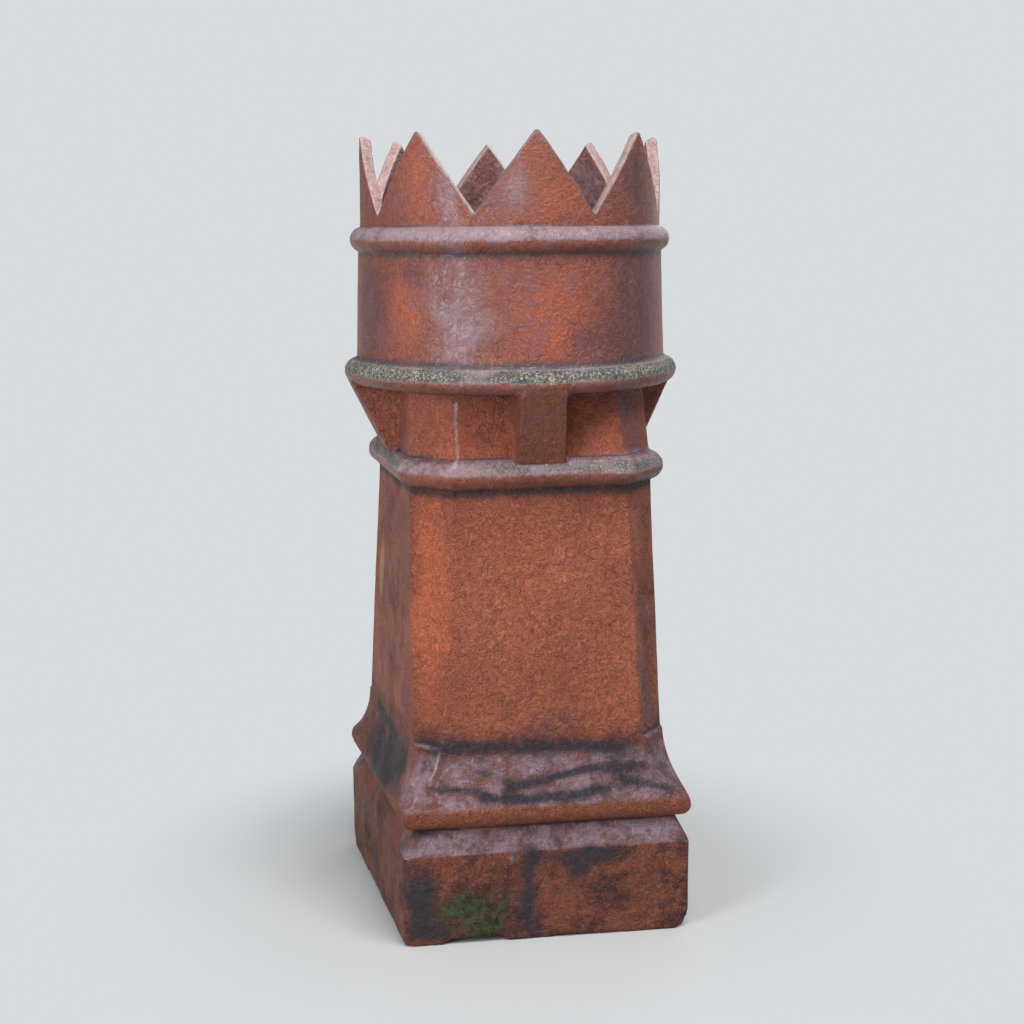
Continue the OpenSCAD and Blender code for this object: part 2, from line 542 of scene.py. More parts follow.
    def drum(self) -> None:
        """Adds the big roll, the drum's wall and the upper roll."""
        s = self.sizes
        for turn in np.linspace(-90, 86, 18):
            a = math.radians(turn)
            height = s.big_roll + s.big_r * math.sin(a)
            self.rings.append(Ring(height, radius=s.drum_r + s.big_r * math.cos(a), roundness=1.0))
            if turn < self.bracket_head_turn:
                self.head_ring = len(self.rings)
        centre = s.crown_r + s.upper_out - s.upper_r
        low = math.degrees(math.acos((s.drum_head_r + 0.4 - centre) / s.upper_r))
        high = math.degrees(math.acos((s.crown_r - centre) / s.upper_r))
        start = s.big_roll + s.big_r
        end = s.upper_roll - s.upper_r * math.sin(math.radians(low))
        for share in np.linspace(0.02, 0.985, 13):
            height = start + share * (end - start)
            radius = s.drum_r - s.drum_lean * (height - s.drum_foot) / s.drum_h
            crowned = float(smooth_step(share, 0.05, 0.95))
            self.rings.append(Ring(height, radius=radius, roundness=1.0, crowned=crowned))
        for turn in np.linspace(-low, high, 15):
            a = math.radians(turn)
            height = s.upper_roll + s.upper_r * math.sin(a)
            radius = centre + s.upper_r * math.cos(a)
            self.rings.append(Ring(height, radius=radius, roundness=1.0, crowned=1.0))
        self.crown_foot = s.upper_roll + s.upper_r * math.sin(math.radians(high))

    def crown(self) -> None:
        """Adds the crown's points, outside, across their cut edges and inside."""
        s = self.sizes
        for share in np.linspace(0.03, 1.0, 26):
            self.rings.append(self.crown_ring(s.crown_r, share, 1.9))
        inner = s.bore_r + s.crown_thin / 2
        for back, drop in self.outer_cut:
            self.rings.append(self.crown_ring(s.crown_r - back, 1.0, drop))
        for back, drop in self.inner_cut:
            self.rings.append(self.crown_ring(inner + back, 1.0, drop))
        for share in np.linspace(1.0, 0.0, 10):
            self.rings.append(self.crown_ring(inner, share, 2.0, inside=True))

    def crown_ring(self, radius: float, rise: float, drop: float, inside: bool = False) -> Ring:
        """A ring that follows the crown's edge.

        Args:
            radius: Radius of the ring.
            rise: Share of the way from the crown's foot to its edge.
            drop: How far below the edge the topmost ring lies.
            inside: Whether it is on the flue's side.

        Returns:
            The ring.
        """
        return Ring(
            self.crown_foot,
            radius=radius,
            roundness=1.0,
            crowned=1.0,
            rise=rise,
            drop=drop,
            inside=inside,
        )

    def hollow(self) -> None:
        """Adds the inside: the drum's bore, its ledge, the shaft's flue and the plinth's hollow."""
        s = self.sizes
        inner_leg = s.wall * (2 - math.sqrt(2))
        ledge = s.drum_foot + s.ledge
        for height in np.linspace(s.notch - 30, ledge + 4, 4):
            self.rings.append(Ring(height, radius=s.bore_r, roundness=1.0, crowned=1.0, inside=True))
        neck, head, foot = (x - s.wall for x in (s.neck_half, s.head_half, s.foot_half))
        head_leg, foot_leg = s.head_leg - inner_leg, s.foot_leg - inner_leg
        for share in (0.97, 0.5, 0.04):
            self.rings.append(
                Ring(ledge, neck, head_leg, 2.0, s.bore_r, share, crowned=1.0, inside=True)
            )
        for height, flat, leg in (
            (ledge - 3, neck, head_leg),
            (s.drum_foot, neck, head_leg),
            (s.band, head, head_leg),
            (s.band - 60, head + s.shaft_lean * 0.2, head_leg - 1.5),
            (s.flare_top + 90, foot - s.shaft_lean * 0.3, foot_leg + 2.5),
            (s.flare_top, foot, foot_leg),
            (s.lip_foot - s.wall, foot, foot_leg),
        ):
            self.rings.append(Ring(height, flat, leg, 3.0, inside=True))
        wide = s.plinth_half - s.plinth_wall
        start = s.lip_foot - s.wall - (wide - foot) * 1.5
        for height in (start, start / 2, 3.0, 0.0):
            self.rings.append(Ring(height, wide, self.square_leg(4.0), 4.0, inside=True))

    def lay(self) -> list[Ring]:
        """Lays every ring in order.

        Returns:
            The rings, from the plinth's foot up the outside and down the inside.
        """
        for course in (
            self.plinth,
            self.lip,
            self.flare,
            self.shaft,
            self.band_and_neck,
            self.drum,
            self.crown,
            self.hollow,
        ):
            course()
        span = self.head_ring - self.foot_ring
        for i in range(self.foot_ring, self.head_ring + 1):
            self.rings[i].wedge = (i - self.foot_ring) / span
        return self.rings


@dataclass(frozen=True)
class HandMade:
    """How far the pressed pot strays from its regular form, in millimetres and degrees."""

    skew_x: float = -0.0794
    skew_y: float = -0.0435
    lean_x: float = -4.45
    lean_y: float = 0.57
    skew_heights: tuple[float, ...] = (147.0, 212.0, 490.0, 575.0)
    skew_shares: tuple[float, ...] = (1.0, 0.9, 0.74, 0.0)
    twist_heights: tuple[float, ...] = (0.0, 147.0, 212.0, 490.0, 580.0, 700.0)
    twists: tuple[float, ...] = (1.54, 1.54, 2.93, 1.29, 1.9, 0.0)
    slow: float = 0.9
    slow_span: float = 120.0
    ripple: float = 0.28
    ripple_span: float = 26.0
    dimple: float = 0.12
    dimple_span: float = 9.0
    nick: float = 0.9
    nick_span: float = 11.0
    pit_share: float = 0.6
    pit_span: float = 4.5

    def bend(self, p: np.ndarray, top: float) -> np.ndarray:
        """Skews, twists and leans the regular form.

        Args:
            p: Points in millimetres.
            top: Height of the pot.

        Returns:
            The moved points.
        """
        x, y, z = p[..., 0], p[..., 1], p[..., 2]
        share = np.interp(z, self.skew_heights, self.skew_shares)
        skewed_x = x + self.skew_x * y * share
        skewed_y = y + self.skew_y * x * share
        turn = np.radians(np.interp(z, self.twist_heights, self.twists))
        down = 1.0 - z / top
        return np.stack(
            [
                skewed_x * np.cos(turn) - skewed_y * np.sin(turn) + self.lean_x * down,
                skewed_x * np.sin(turn) + skewed_y * np.cos(turn) + self.lean_y * down,
                z,
            ],
            -1,
        )


@dataclass(frozen=True)
class Chip:
    """A flake lost from an edge: what lies beyond a plane through at, facing out, is pushed back."""

    at: tuple[float, float, float]
    out: tuple[float, float, float]
    reach: float
    rough: float = 0.8
    full_share: ClassVar[float] = 0.7
    fine_span: ClassVar[float] = 7.0
    coarse_span: ClassVar[float] = 19.0
    coarse_share: ClassVar[float] = 1.6

    def strike(self, p: np.ndarray) -> np.ndarray:
        """Takes the flake off.

        Args:
            p: Points in millimetres.

        Returns:
            The moved points.
        """
        out = np.array(self.out) / np.linalg.norm(self.out)
        offset = p - np.array(self.at)
        away = np.linalg.norm(offset, axis=-1)
        near = 1.0 - smooth_step(away, self.reach * self.full_share, self.reach)
        bumpy = self.rough * grain(p, self.fine_span, 3.1)
        bumpy = bumpy + self.coarse_share * self.rough * grain(p, self.coarse_span, 7.7)
        beyond = np.maximum(0.0, offset @ out - bumpy)
        return p - (near * beyond)[..., None] * out


@dataclass(frozen=True)
class Stain:
    """A patch of a mark on the outside, centred at a turn from the front and a height.

    The edge is the power at which it fades; wander is the share of the pot's slow noise that shifts it
    round, in degrees, and up, in millimetres.
    """

    mark: Mark
    turn: float
    height: float
    width: float
    tall: float
    strength: float = 1.0
    lean: float = 0.0
    edge: ClassVar[float] = 2.4
    wander: ClassVar[tuple[float, float]] = (1 / 3, 0.8)

    def depth(self, turn: np.ndarray, height: np.ndarray, reach: float) -> np.ndarray:
        """How strongly it lies at each point.

        Args:
            turn: Degrees of each point from the front.
            height: Height of each point in millimetres.
            reach: Distance from the axis at which widths are measured.

        Returns:
            From 0 to the patch's strength.
        """
        away = (turn - self.turn + 180.0) % 360.0 - 180.0
        across, up = np.radians(away) * reach, height - self.height
        c, s = math.cos(math.radians(self.lean)), math.sin(math.radians(self.lean))
        a, b = across * c + up * s, up * c - across * s
        away = (np.abs(a) / self.width) ** self.edge + (np.abs(b) / self.tall) ** self.edge
        return self.strength * np.exp(-away)


@dataclass(frozen=True)
class Streak:
    """A line of a mark on the outside, through places given as a turn from the front and a height.

    Its edge and wander are a stain's, but it keeps closer to its path.
    """

    mark: Mark
    path: tuple[tuple[float, float], ...]
    width: float
    strength: float = 1.0
    edge: ClassVar[float] = 1.5
    wander: ClassVar[tuple[float, float]] = (1 / 12, 0.2)

    def depth(self, turn: np.ndarray, height: np.ndarray, reach: float) -> np.ndarray:
        """How strongly it lies at each point.

        Args:
            turn: Degrees of each point from the front.
            height: Height of each point in millimetres.
            reach: Distance from the axis at which widths are measured.

        Returns:
            From 0 to the streak's strength.
        """
        middle = self.path[0][0]

        def unrolled(at: np.ndarray | float) -> np.ndarray | float:
            """How far round a turn is from the streak's start, in millimetres."""
            return np.radians((at - middle + 180.0) % 360.0 - 180.0) * reach

        here = np.stack([unrolled(turn), height], -1)
        nearest = np.full(turn.shape, np.inf)
        for (turn_a, high_a), (turn_b, high_b) in zip(self.path, self.path[1:]):
            a, b = np.array([unrolled(turn_a), high_a]), np.array([unrolled(turn_b), high_b])
            share = np.clip(((here - a) @ (b - a)) / ((b - a) @ (b - a)), 0, 1)[..., None]
            nearest = np.minimum(nearest, np.linalg.norm(here - a - share * (b - a), axis=-1))
        return self.strength * np.exp(-np.abs(nearest / self.width) ** self.edge)


MARKS_AND_PAINTED_LIGHT: tuple[Stain | Streak, ...] = (
    Stain(Mark.BRIGHT_AND_PAINTED_LIGHT, -42, 370, 24, 140, 0.85),
    Stain(Mark.BRIGHT_AND_PAINTED_LIGHT, -8, 400, 70, 80, 0.4),
    Stain(Mark.BRIGHT_AND_PAINTED_LIGHT, 6, 650, 34, 44, 0.8),
    Stain(Mark.BRIGHT_AND_PAINTED_LIGHT, -52, 645, 20, 34, 0.9),
    Stain(Mark.BRIGHT_AND_PAINTED_LIGHT, -44, 790, 20, 50, 0.7),
    Stain(Mark.BRIGHT_AND_PAINTED_LIGHT, 8, 765, 30, 24, 0.55),
    Stain(Mark.BRIGHT_AND_PAINTED_LIGHT, 22, 540, 18, 26, 0.5),
    # Painted light on both sides of the neck, in the shade of the drum's overhang.
    Stain(Mark.BRIGHT_AND_PAINTED_LIGHT, -25, 525, 40, 44, 1.0),
    Stain(Mark.BRIGHT_AND_PAINTED_LIGHT, 28, 530, 26, 40, 1.0),
    Stain(Mark.EMBER, 0, 535, 34, 50, 1.0),
    Stain(Mark.BRIGHT_AND_PAINTED_LIGHT, 32, 42, 44, 34, 0.9),
    Stain(Mark.BRIGHT_AND_PAINTED_LIGHT, 12, 28, 30, 18, 0.55),
    Stain(Mark.BRIGHT_AND_PAINTED_LIGHT, -24, 76, 26, 14, 0.6),
    Stain(Mark.BRIGHT_AND_PAINTED_LIGHT, 135, 300, 60, 120, 0.5),
    Stain(Mark.BRIGHT_AND_PAINTED_LIGHT, -160, 650, 60, 50, 0.5),
    Stain(Mark.PLUM, 44, 655, 50, 75, 1.0),
    Stain(Mark.PLUM, 20, 625, 30, 26, 0.6),
    Stain(Mark.PLUM, 46, 785, 34, 55, 0.75),
    Stain(Mark.PLUM, -72, 655, 34, 64, 0.9),
    Stain(Mark.PLUM, -46, 692, 22, 16, 0.6),
    Stain(Mark.PLUM, 10, 230, 60, 26, 0.45),
    Stain(Mark.PLUM, 44, 240, 16, 60, 0.8),
    Stain(Mark.PLUM, 44, 540, 22, 50, 0.5),
    Stain(Mark.PLUM, -20, 535, 44, 44, 0.35),
    Stain(Mark.PLUM, 30, 535, 40, 44, 0.25),
    Stain(Mark.PLUM, 150, 660, 80, 60, 0.6),
    Stain(Mark.PLUM, -150, 230, 90, 40, 0.5),
    # Painted shade on the shaft's left face.
    Stain(Mark.DARK, -88, 350, 88, 190, 0.55),
    Stain(Mark.DARK, 50, 340, 22, 160, 0.7),
    Stain(Mark.DARK, 6, 466, 90, 12, 0.35),
    Stain(Mark.CHALK, -113, 360, 14, 44, 1.0),
    Stain(Mark.CHAR, -86, 160, 84, 26, 1.0),
    Stain(Mark.CHAR, -68, 172, 40, 20, 0.8),
    Stain(Mark.CHAR, 44, 168, 14, 12, 0.6),
    Stain(Mark.CHAR, -42, 186, 5, 10, 0.6),
    Stain(Mark.CHAR, 10, 110, 6, 8, 0.55),
    Stain(Mark.CHAR, -41, 119, 9, 6, 0.75),
    Stain(Mark.CHAR, -1, 116, 14, 5, 0.5),
    Stain(Mark.CHAR, -37.5, 56, 17, 40, 1.0),
    Stain(Mark.CHAR, -37, 16, 22, 16, 0.8),
    Stain(Mark.CHAR, 20, 89, 40, 11, 1.0),
    Stain(Mark.CHAR, 17, 78, 16, 16, 0.9),
    Stain(Mark.CHAR, 9, 58, 6, 5, 0.5),
    Stain(Mark.CHAR, -116, 60, 14, 26, 0.7),
    Stain(Mark.CHAR, -88, 106, 22, 8, 0.6),
    Stain(Mark.CHAR, 100, 165, 50, 12, 0.8),
    Stain(Mark.CHAR, 170, 160, 60, 12, 0.8),
    Stain(Mark.CHAR, 160, 60, 30, 30, 0.7),
    Stain(Mark.CHAR, 80, 40, 30, 20, 0.6),
    Stain(Mark.MOSS, -28, 38, 18, 24, 0.8),
    Stain(Mark.MOSS, -24, 9, 18, 11, 1.0),
    Stain(Mark.MOSS, -27, 56, 6, 8, 0.6),
    Stain(Mark.MOSS, -19, 52, 9, 6, 0.6),
    Stain(Mark.MOSS, -15, 30, 24, 20, 0.55),
    Stain(Mark.MOSS, 23, 10, 10, 6, 0.4),
    Stain(Mark.MOSS, -112, 40, 22, 24, 0.5),
    Stain(Mark.MOSS, 130, 30, 30, 24, 0.6),
    Streak(Mark.CHAR, ((-40, 212), (-23, 206), (2, 205), (20, 203), (34, 197)), 11, 0.85),
    Streak(Mark.DARK, ((-44, 206), (-23, 203), (2, 202), (20, 200), (44, 196)), 22, 0.9),
    Streak(Mark.CHAR, ((-23, 181), (-15, 174), (-7, 168)), 5, 0.55),
    Streak(Mark.CHAR, ((-12, 164), (-7, 168), (3, 171), (14, 175), (26, 179), (39, 179)), 5.2, 0.95),
    Streak(Mark.CHAR, ((-39, 168), (-30, 166), (-24, 162), (-21, 155)), 4.5, 0.85),
    Streak(Mark.CHAR, ((-22, 158), (-18, 154), (-3, 153), (12, 154), (20, 157), (28, 161)), 6.2, 1.0),
    Streak(Mark.CHAR, ((33, 168), (39, 160), (42, 155)), 7, 0.8),
    Streak(Mark.CHAR, ((-112, 198), (-95, 196), (-77, 193), (-66, 190), (-58, 184)), 7, 1.0),
    Streak(Mark.CHAR, ((-2, 94), (-4, 70), (-3, 50), (-5, 30), (-2, 8)), 13, 0.8),
    Streak(Mark.CHAR, ((-63, 548), (-63, 528)), 2.5, 1.0),
    Streak(Mark.CHAR, ((58, 180), (90, 185), (124, 176)), 6, 0.8),
    Streak(Mark.CHAR, ((140, 205), (170, 204), (-150, 206)), 8, 0.7),
    Streak(Mark.CHAR, ((-14, 598), (0, 596), (10, 597)), 1.6, 0.7),
    Streak(Mark.WORN, ((-31.5, 500), (-31.5, 565)), 2.4, 1.0),
    Streak(Mark.WORN, ((-36, 216), (-37, 200), (-37.5, 188), (-39, 177)), 2.0, 0.9),
    Streak(Mark.WORN, ((-42, 146), (-42.5, 158)), 2.0, 0.8),
    Streak(Mark.BLOOM, ((-10, 96), (-10.5, 86)), 4.5, 0.9),
    # Painted sheen: the lamp's broad reflection on the drum and the crown, laid as a pale lilac film.
    Stain(Mark.BLOOM, -30, 660, 35, 84, 0.62),
    Stain(Mark.BLOOM, -18, 640, 26, 40, 0.4),
    Stain(Mark.BLOOM, -33, 770, 18, 42, 0.65),
    Stain(Mark.BLOOM, -6, 780, 18, 38, 0.55),
    Stain(Mark.BLOOM, 38, 770, 24, 40, 0.35),
)


@dataclass
class Weathering:
    """Works out how deep each mark lies on the finished pot, from 0 to 1.

    Points and bulge are laid out by ring and stave, in millimetres; bulge is how far a point stands out
    from what is around it. The other fields say how deep a mark lies, or how much of it is kept off.
    """

    sizes: PotSizes
    points: np.ndarray
    rings: list[Ring]
    bulge: np.ndarray
    gloss: float = 0.8
    neck_gloss: float = 0.42
    sky_sheen: float = 0.93
    hollow_sheen: float = 0.8
    inner_bloom: float = 0.7
    left_bare: float = 0.75
    rim_bare: float = 0.45
    cut_bare: float = 0.7
    plinth_dark: float = 0.9
    left_shade: float = 0.8
    under_shade: float = 0.5
    cut_worn: float = 0.78
    roll_spared: float = 0.85
    stop_spared: float = 0.8
    neck_shade_spared: float = 0.55
    brink_dirt: float = 0.95

    def __post_init__(self) -> None:
        """Measures the surface and starts with a clean pot."""
        p = self.points
        self.inside = np.array([r.inside for r in self.rings])[:, None] * np.ones(p.shape[1])
        self.outside = 1 - self.inside
        self.height = p[..., 2]
        self.turn = np.degrees(np.arctan2(p[..., 0], -p[..., 1]))
        self.skyward = normals(p)[..., 2]
        self.drift = 14.0 * grain(p, 60.0, 4.4) + 5.0 * grain(p, 20.0, 9.2)
        self.found = {mark: np.zeros(self.inside.shape) for mark in Mark}

    def deepen(self, mark: Mark, depth: np.ndarray) -> None:
        """Lays a mark wherever it comes out deeper than what lies there already."""
        self.found[mark] = np.maximum(self.found[mark], depth)

    def shaded_left(self) -> np.ndarray:
        """The lower mouldings of the left side, which get painted shade and are kept nearly free of the
        lilac film.

        Returns:
            From 0 to 1 at each point.
        """
        turn = self.turn + self.drift * Stain.wander[0]
        side = smooth_step(-turn, 44, 58) * smooth_step(turn, -136, -120)
        return side * (self.height < self.sizes.flare_top + 12) * self.outside

    def rim(self) -> np.ndarray:
        """The edge of the lip."""
        return np.exp(-(((self.height - self.sizes.lip_top + 10) / 9) ** 4)) * self.outside

    def cut(self) -> np.ndarray:
        """The cut edges of the crown.

        Returns:
            From 0 to the wear's depth at each point.
        """
        level = self.sizes.notch
        crown = smooth_step(self.height, level - 9, level - 3)
        return self.cut_worn * crown * smooth_step(self.skyward, 0.12, 0.35)

    def fire(self) -> None:
        """Lays the listed stains and streaks of the kiln and the weather, with the painted sheen, light
        and shade among them.
        """
        wave = np.roll(self.drift, 3, 1)
        for stain in MARKS_AND_PAINTED_LIGHT:
            turned, raised = stain.wander
            turn, height = self.turn + turned * self.drift, self.height + raised * wave
            depth = stain.depth(turn, height, self.sizes.drum_r - 12) * self.outside
            self.found[stain.mark] = 1 - (1 - self.found[stain.mark]) * (1 - np.clip(depth, 0, 1))

    def crust(self) -> None:
        """Covers the rolls with lichen in patches, with painted sky reflection on their upper sides and
        with gloss.
        """
        s = self.sizes
        patchy = np.clip(0.85 + 1.1 * grain(self.points, 75.0, 6.2), 0.2, 1.0)
        for level, reach, lichen in (
            (s.big_roll, 12.5, 1.0),
            (s.upper_roll, 11.0, 0.2),
            (s.band, 13.0, 0.55),
        ):
            near = np.exp(-(((self.height - level) / reach) ** 8)) * self.outside
            upper = smooth_step(self.skyward, -0.35, 0.35)
            self.found[Mark.LICHEN] += lichen * near * patchy * upper
            # Painted reflection of the sky on the rolls' upper sides.
            self.deepen(Mark.BLOOM, near * smooth_step(self.skyward, -0.3, 0.2))
            self.deepen(Mark.GLAZE, self.gloss * near)

    def glaze(self) -> None:
        """Glosses the drum and the crown, and the neck a little."""
        s, z = self.sizes, self.height
        head = smooth_step(z, s.big_roll, s.big_roll + 9) * self.outside
        self.deepen(Mark.GLAZE, self.gloss * head)
        neck = (z > s.band + 15) * (z < s.big_roll - 14) * self.outside
        self.deepen(Mark.GLAZE, self.neck_gloss * neck)

    def darken(self) -> None:
        """Darkens the plinth, paints shade on the left side's lower mouldings and on what faces the
        ground, reddens the lip and soots the flue.
        """
        s, z = self.sizes, self.height
        plinth = smooth_step(self.drift + s.lip_foot + 3 - z, -3, 6) * (z < s.lip_foot + 3)
        self.deepen(Mark.DARK, self.plinth_dark * plinth * self.outside)
        # Painted shade on the left side's lower mouldings.
        self.deepen(Mark.DARK, self.left_shade * self.shaded_left())
        # Painted shade on what faces the ground.
        under = smooth_step(-self.skyward, 0.05, 0.5) * (z > s.plinth_h) * self.outside
        self.deepen(Mark.DARK, self.under_shade * under)
        self.deepen(Mark.EMBER, self.rim())
        self.found[Mark.SOOT] = self.inside * smooth_step(s.notch + 10 - z, 0, 80)

    def bloom_and_sheen(self) -> None:
        """Lays painted sky reflection as a lilac film on what faces the sky and in the hollow of the
        flare, and the same film inside the crown.
        """
        s, z = self.sizes, self.height
        # Painted reflection of the sky on what faces up.
        lying = smooth_step(self.skyward, 0.06, 0.42) * (z > s.plinth_h - 2) * self.outside
        self.deepen(Mark.BLOOM, self.sky_sheen * lying)
        # Painted reflection of the sky in the flare's hollow.
        hollow = smooth_step(s.flare_top + 0.3 * self.drift - z, -2, 22) * (z > s.lip_top) * self.outside
        self.deepen(Mark.BLOOM, self.hollow_sheen * hollow)
        self.found[Mark.BLOOM] *= 1 - self.left_bare * self.shaded_left()
        self.found[Mark.BLOOM] *= 1 - self.rim_bare * self.rim()
        crown = smooth_step(z, s.notch - 40, s.notch - 10) * self.inside
        self.deepen(Mark.BLOOM, self.inner_bloom * crown)
        self.found[Mark.BLOOM] *= 1 - self.cut_bare * self.cut()

    def wear(self) -> None:
        """Rubs the arrises pale, sparing the rolls and the flare's stops, and bares the crown's cuts."""
        s, z = self.sizes, self.height
        levels = (s.band, s.big_roll, s.upper_roll, s.lip_foot + 9)
        rolled = sum(np.exp(-(((z - level) / 17) ** 6)) for level in levels)
        edges = smooth_step(self.bulge, 0.12, 0.55) * self.outside
        edges *= 1 - np.clip(rolled, 0, self.roll_spared)
        edges *= 1 - self.stop_spared * np.exp(-(((z - s.flare_top) / 14) ** 4))
        self.deepen(Mark.WORN, edges)
        self.found[Mark.WORN] *= smooth_step(z, 1, 9)
        self.deepen(Mark.WORN, self.cut())

    def shade_and_dirty(self) -> None:
        """Paints shade into the hollows, less of it on the neck, and lines the crown's outer edge with
        dirt.
        """
        s = self.sizes
        neck = (self.height > s.band + 16) * (self.height < s.big_roll - 20)
        # Painted shade in the hollows, weaker on the neck.
        self.found[Mark.CREASE] = smooth_step(-self.bulge, 0.18, 0.65) * (1 - self.neck_shade_spared * neck)
        brink = [r.rise == 1.0 and not r.inside and r.drop > 0.5 for r in self.rings]
        self.deepen(Mark.CREASE, self.brink_dirt * np.array(brink, float)[:, None])

    def lay(self) -> dict[Mark, np.ndarray]:
        """Lays every mark.

        Returns:
            For each mark, its depth at each point.
        """
        for layer in (self.fire, self.crust, self.glaze, self.darken, self.bloom_and_sheen, self.wear, self.shade_and_dirty):
            layer()
        return self.found


@dataclass
class Pot:
    """The pot itself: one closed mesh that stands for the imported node."""

    sizes: PotSizes = field(default_factory=PotSizes)
    made: HandMade = field(default_factory=HandMade)
    chips: tuple[Chip, ...] = (
        Chip((151, -151, 20), (1, -1, -0.8), 70, 0.5),
        Chip((-151, -151, 7), (-1, -1, -1.2), 40, 0.6),
        Chip((-151, 151, 18), (-1, 1, -1), 60, 0.9),
        Chip((-76, -151, 6.5), (0, -0.35, -1), 36, 0.9),
        Chip((40, -151, 2.5), (0, -0.7, -1), 40, 0.7),
        Chip((-151, 20, 5), (-0.8, 0, -1), 42, 1.2),
        Chip((151, 30, 5), (0.8, 0, -1), 46, 1.2),
        Chip((151, 151, 12), (1, 1, -1), 46, 0.9),
        Chip((60, 151, 4), (0, 0.8, -1), 40, 1.2),
    )
    softening: tuple[int, float] = (2, 0.22)
    easing: tuple[int, float] = (6, 0.5)

    def points(self, rings: list[Ring]) -> np.ndarray:
        """Places every vertex of the regular form.

        Args:
            rings: The pot's rings in order.

        Returns:
            Points in millimetres, by ring and stave.
        """
        s = self.sizes
        staves = Staves(s)
        rows = []
        for ring in rings:
            half = s.bracket_foot
            if ring.wedge is not None:
                half += ring.wedge * (s.bracket_head - s.bracket_foot)
            flat = staves.squared(ring, half) if ring.roundness < 1 else np.zeros((len(staves.role), 2))
            plan = flat + ring.roundness * (staves.rounded(ring) - flat)
            height = np.full(len(plan), ring.height)
            if ring.rise is not None:
                height = ring.height + ring.rise * (self.edge(staves, ring) - ring.height)
            row = np.concatenate([plan, height[:, None]], 1)
            rows.append(self.wedge(staves, ring, half, row) if ring.wedge is not None else row)
        return np.array(rows)

    def edge(self, staves: Staves, ring: Ring) -> np.ndarray:
        """Height of the crown's edge on a ring of that radius, each notch being cut square through.

        Args:
            staves: The upright lines.
            ring: The ring that meets the edge.

        Returns:
            A height for each stave.
        """
        s = self.sizes
        away = np.abs(staves.angles(1.0) - math.pi / s.points)
        run = s.crown_r * math.sin(math.pi / s.points) - s.tip_w / 2
        share = (ring.radius * np.sin(away) - s.notch_flat / 2) / (run - s.notch_flat / 2)
        return s.notch + np.clip(share, 0, 1) * s.point_h - ring.drop

    def wedge(self, staves: Staves, ring: Ring, half: float, row: np.ndarray) -> np.ndarray:
        """Lifts the staves of the brackets off the ring on to their sloping faces and flanks.

        Args:
            staves: The upright lines.
            ring: A ring between the brackets' feet and heads.
            half: Half-width of the brackets there.
            row: The ring's points without brackets.

        Returns:
            The ring's points with brackets.
        """
        s = self.sizes
        slope = (s.drum_r + s.big_r - s.bracket_back - s.neck_half - s.bracket_foot_out) / s.neck_h
        face = s.neck_half + s.bracket_foot_out
        foot_z, head_z = s.band + s.bracket_foot_rise, s.drum_foot + s.bracket_head_rise
        height = foot_z + ring.wedge * (head_z - foot_z)
        out = face + slope * (height - s.band)
        across = np.interp(
            staves.role, [0, staves.face, staves.arris], [0, half - staves.bracket_round, half]
        )
        bend = math.pi / 2 * np.clip((staves.role - staves.face) / (staves.arris - staves.face), 0, 1)
        across = np.where(
            staves.role > staves.face, half - staves.bracket_round * (1 - np.sin(bend)), across
        )
        out = out - staves.bracket_round * (1 - np.cos(bend))
        plan = staves.out * out[:, None] + staves.along * (staves.sign * across)[:, None]
        lifted = np.concatenate([plan, np.full((len(plan), 1), height)], 1)
        share = np.clip((staves.role - staves.arris) / (staves.flank - staves.arris), 0, 1)[:, None]
        return lifted + share * (row - lifted)

    def relax(self, p: np.ndarray, passes: int, share: float) -> np.ndarray:
        """Eases every point towards its four neighbours, which softens arrises and hollows alike.

        Args:
            p: Points by ring and stave.
            passes: How often it is done.
            share: How far a point moves each time.

        Returns:
            The eased points.
        """
        for _ in range(passes):
            around = np.roll(p, 1, 0) + np.roll(p, -1, 0) + np.roll(p, 1, 1) + np.roll(p, -1, 1)
            p = p + share * (around / 4 - p)
        return p

    def weather(self, p: np.ndarray, sharp: np.ndarray) -> np.ndarray:
        """Gives the form its slow dents, its ripples and its nicked arrises.

        Args:
            p: Points in millimetres.
            sharp: How much each point stands out, 1 on an arris.

        Returns:
            The moved points.
        """
        m = self.made
        swell = m.slow * grain(p, m.slow_span) + m.ripple * grain(p, m.ripple_span, 5.3)
        swell = swell + m.dimple * grain(p, m.dimple_span, 1.7)
        bite = np.maximum(0.0, grain(p, m.nick_span, 2.9) - 0.05)
        bite = bite + m.pit_share * np.maximum(0.0, grain(p, m.pit_span, 8.1))
        return p + (swell - m.nick * sharp * bite)[..., None] * normals(p)

    def shape(self) -> tuple[np.ndarray, dict[Mark, np.ndarray]]:
        """Works out the finished surface and what lies on it.

        Returns:
            Points in millimetres by ring and stave, and the depth of each mark there.
        """
        s = self.sizes
        rings = PotForm(s).lay()
        p = self.relax(self.points(rings), *self.softening)
        eased = self.relax(p, *self.easing)
        bulge = ((p - eased) * normals(eased)).sum(-1)
        for chip in self.chips:
            p = chip.strike(p)
        p = self.made.bend(p, s.top)
        p = self.weather(p, smooth_step(bulge, 0.05, 0.35))
        p[0, :, 2] -= self.made.slow
        p[..., 2] = np.maximum(p[..., 2], 0.0)
        p[-1, :, 2] = 0.0
        return p, Weathering(s, p, rings, bulge).lay()

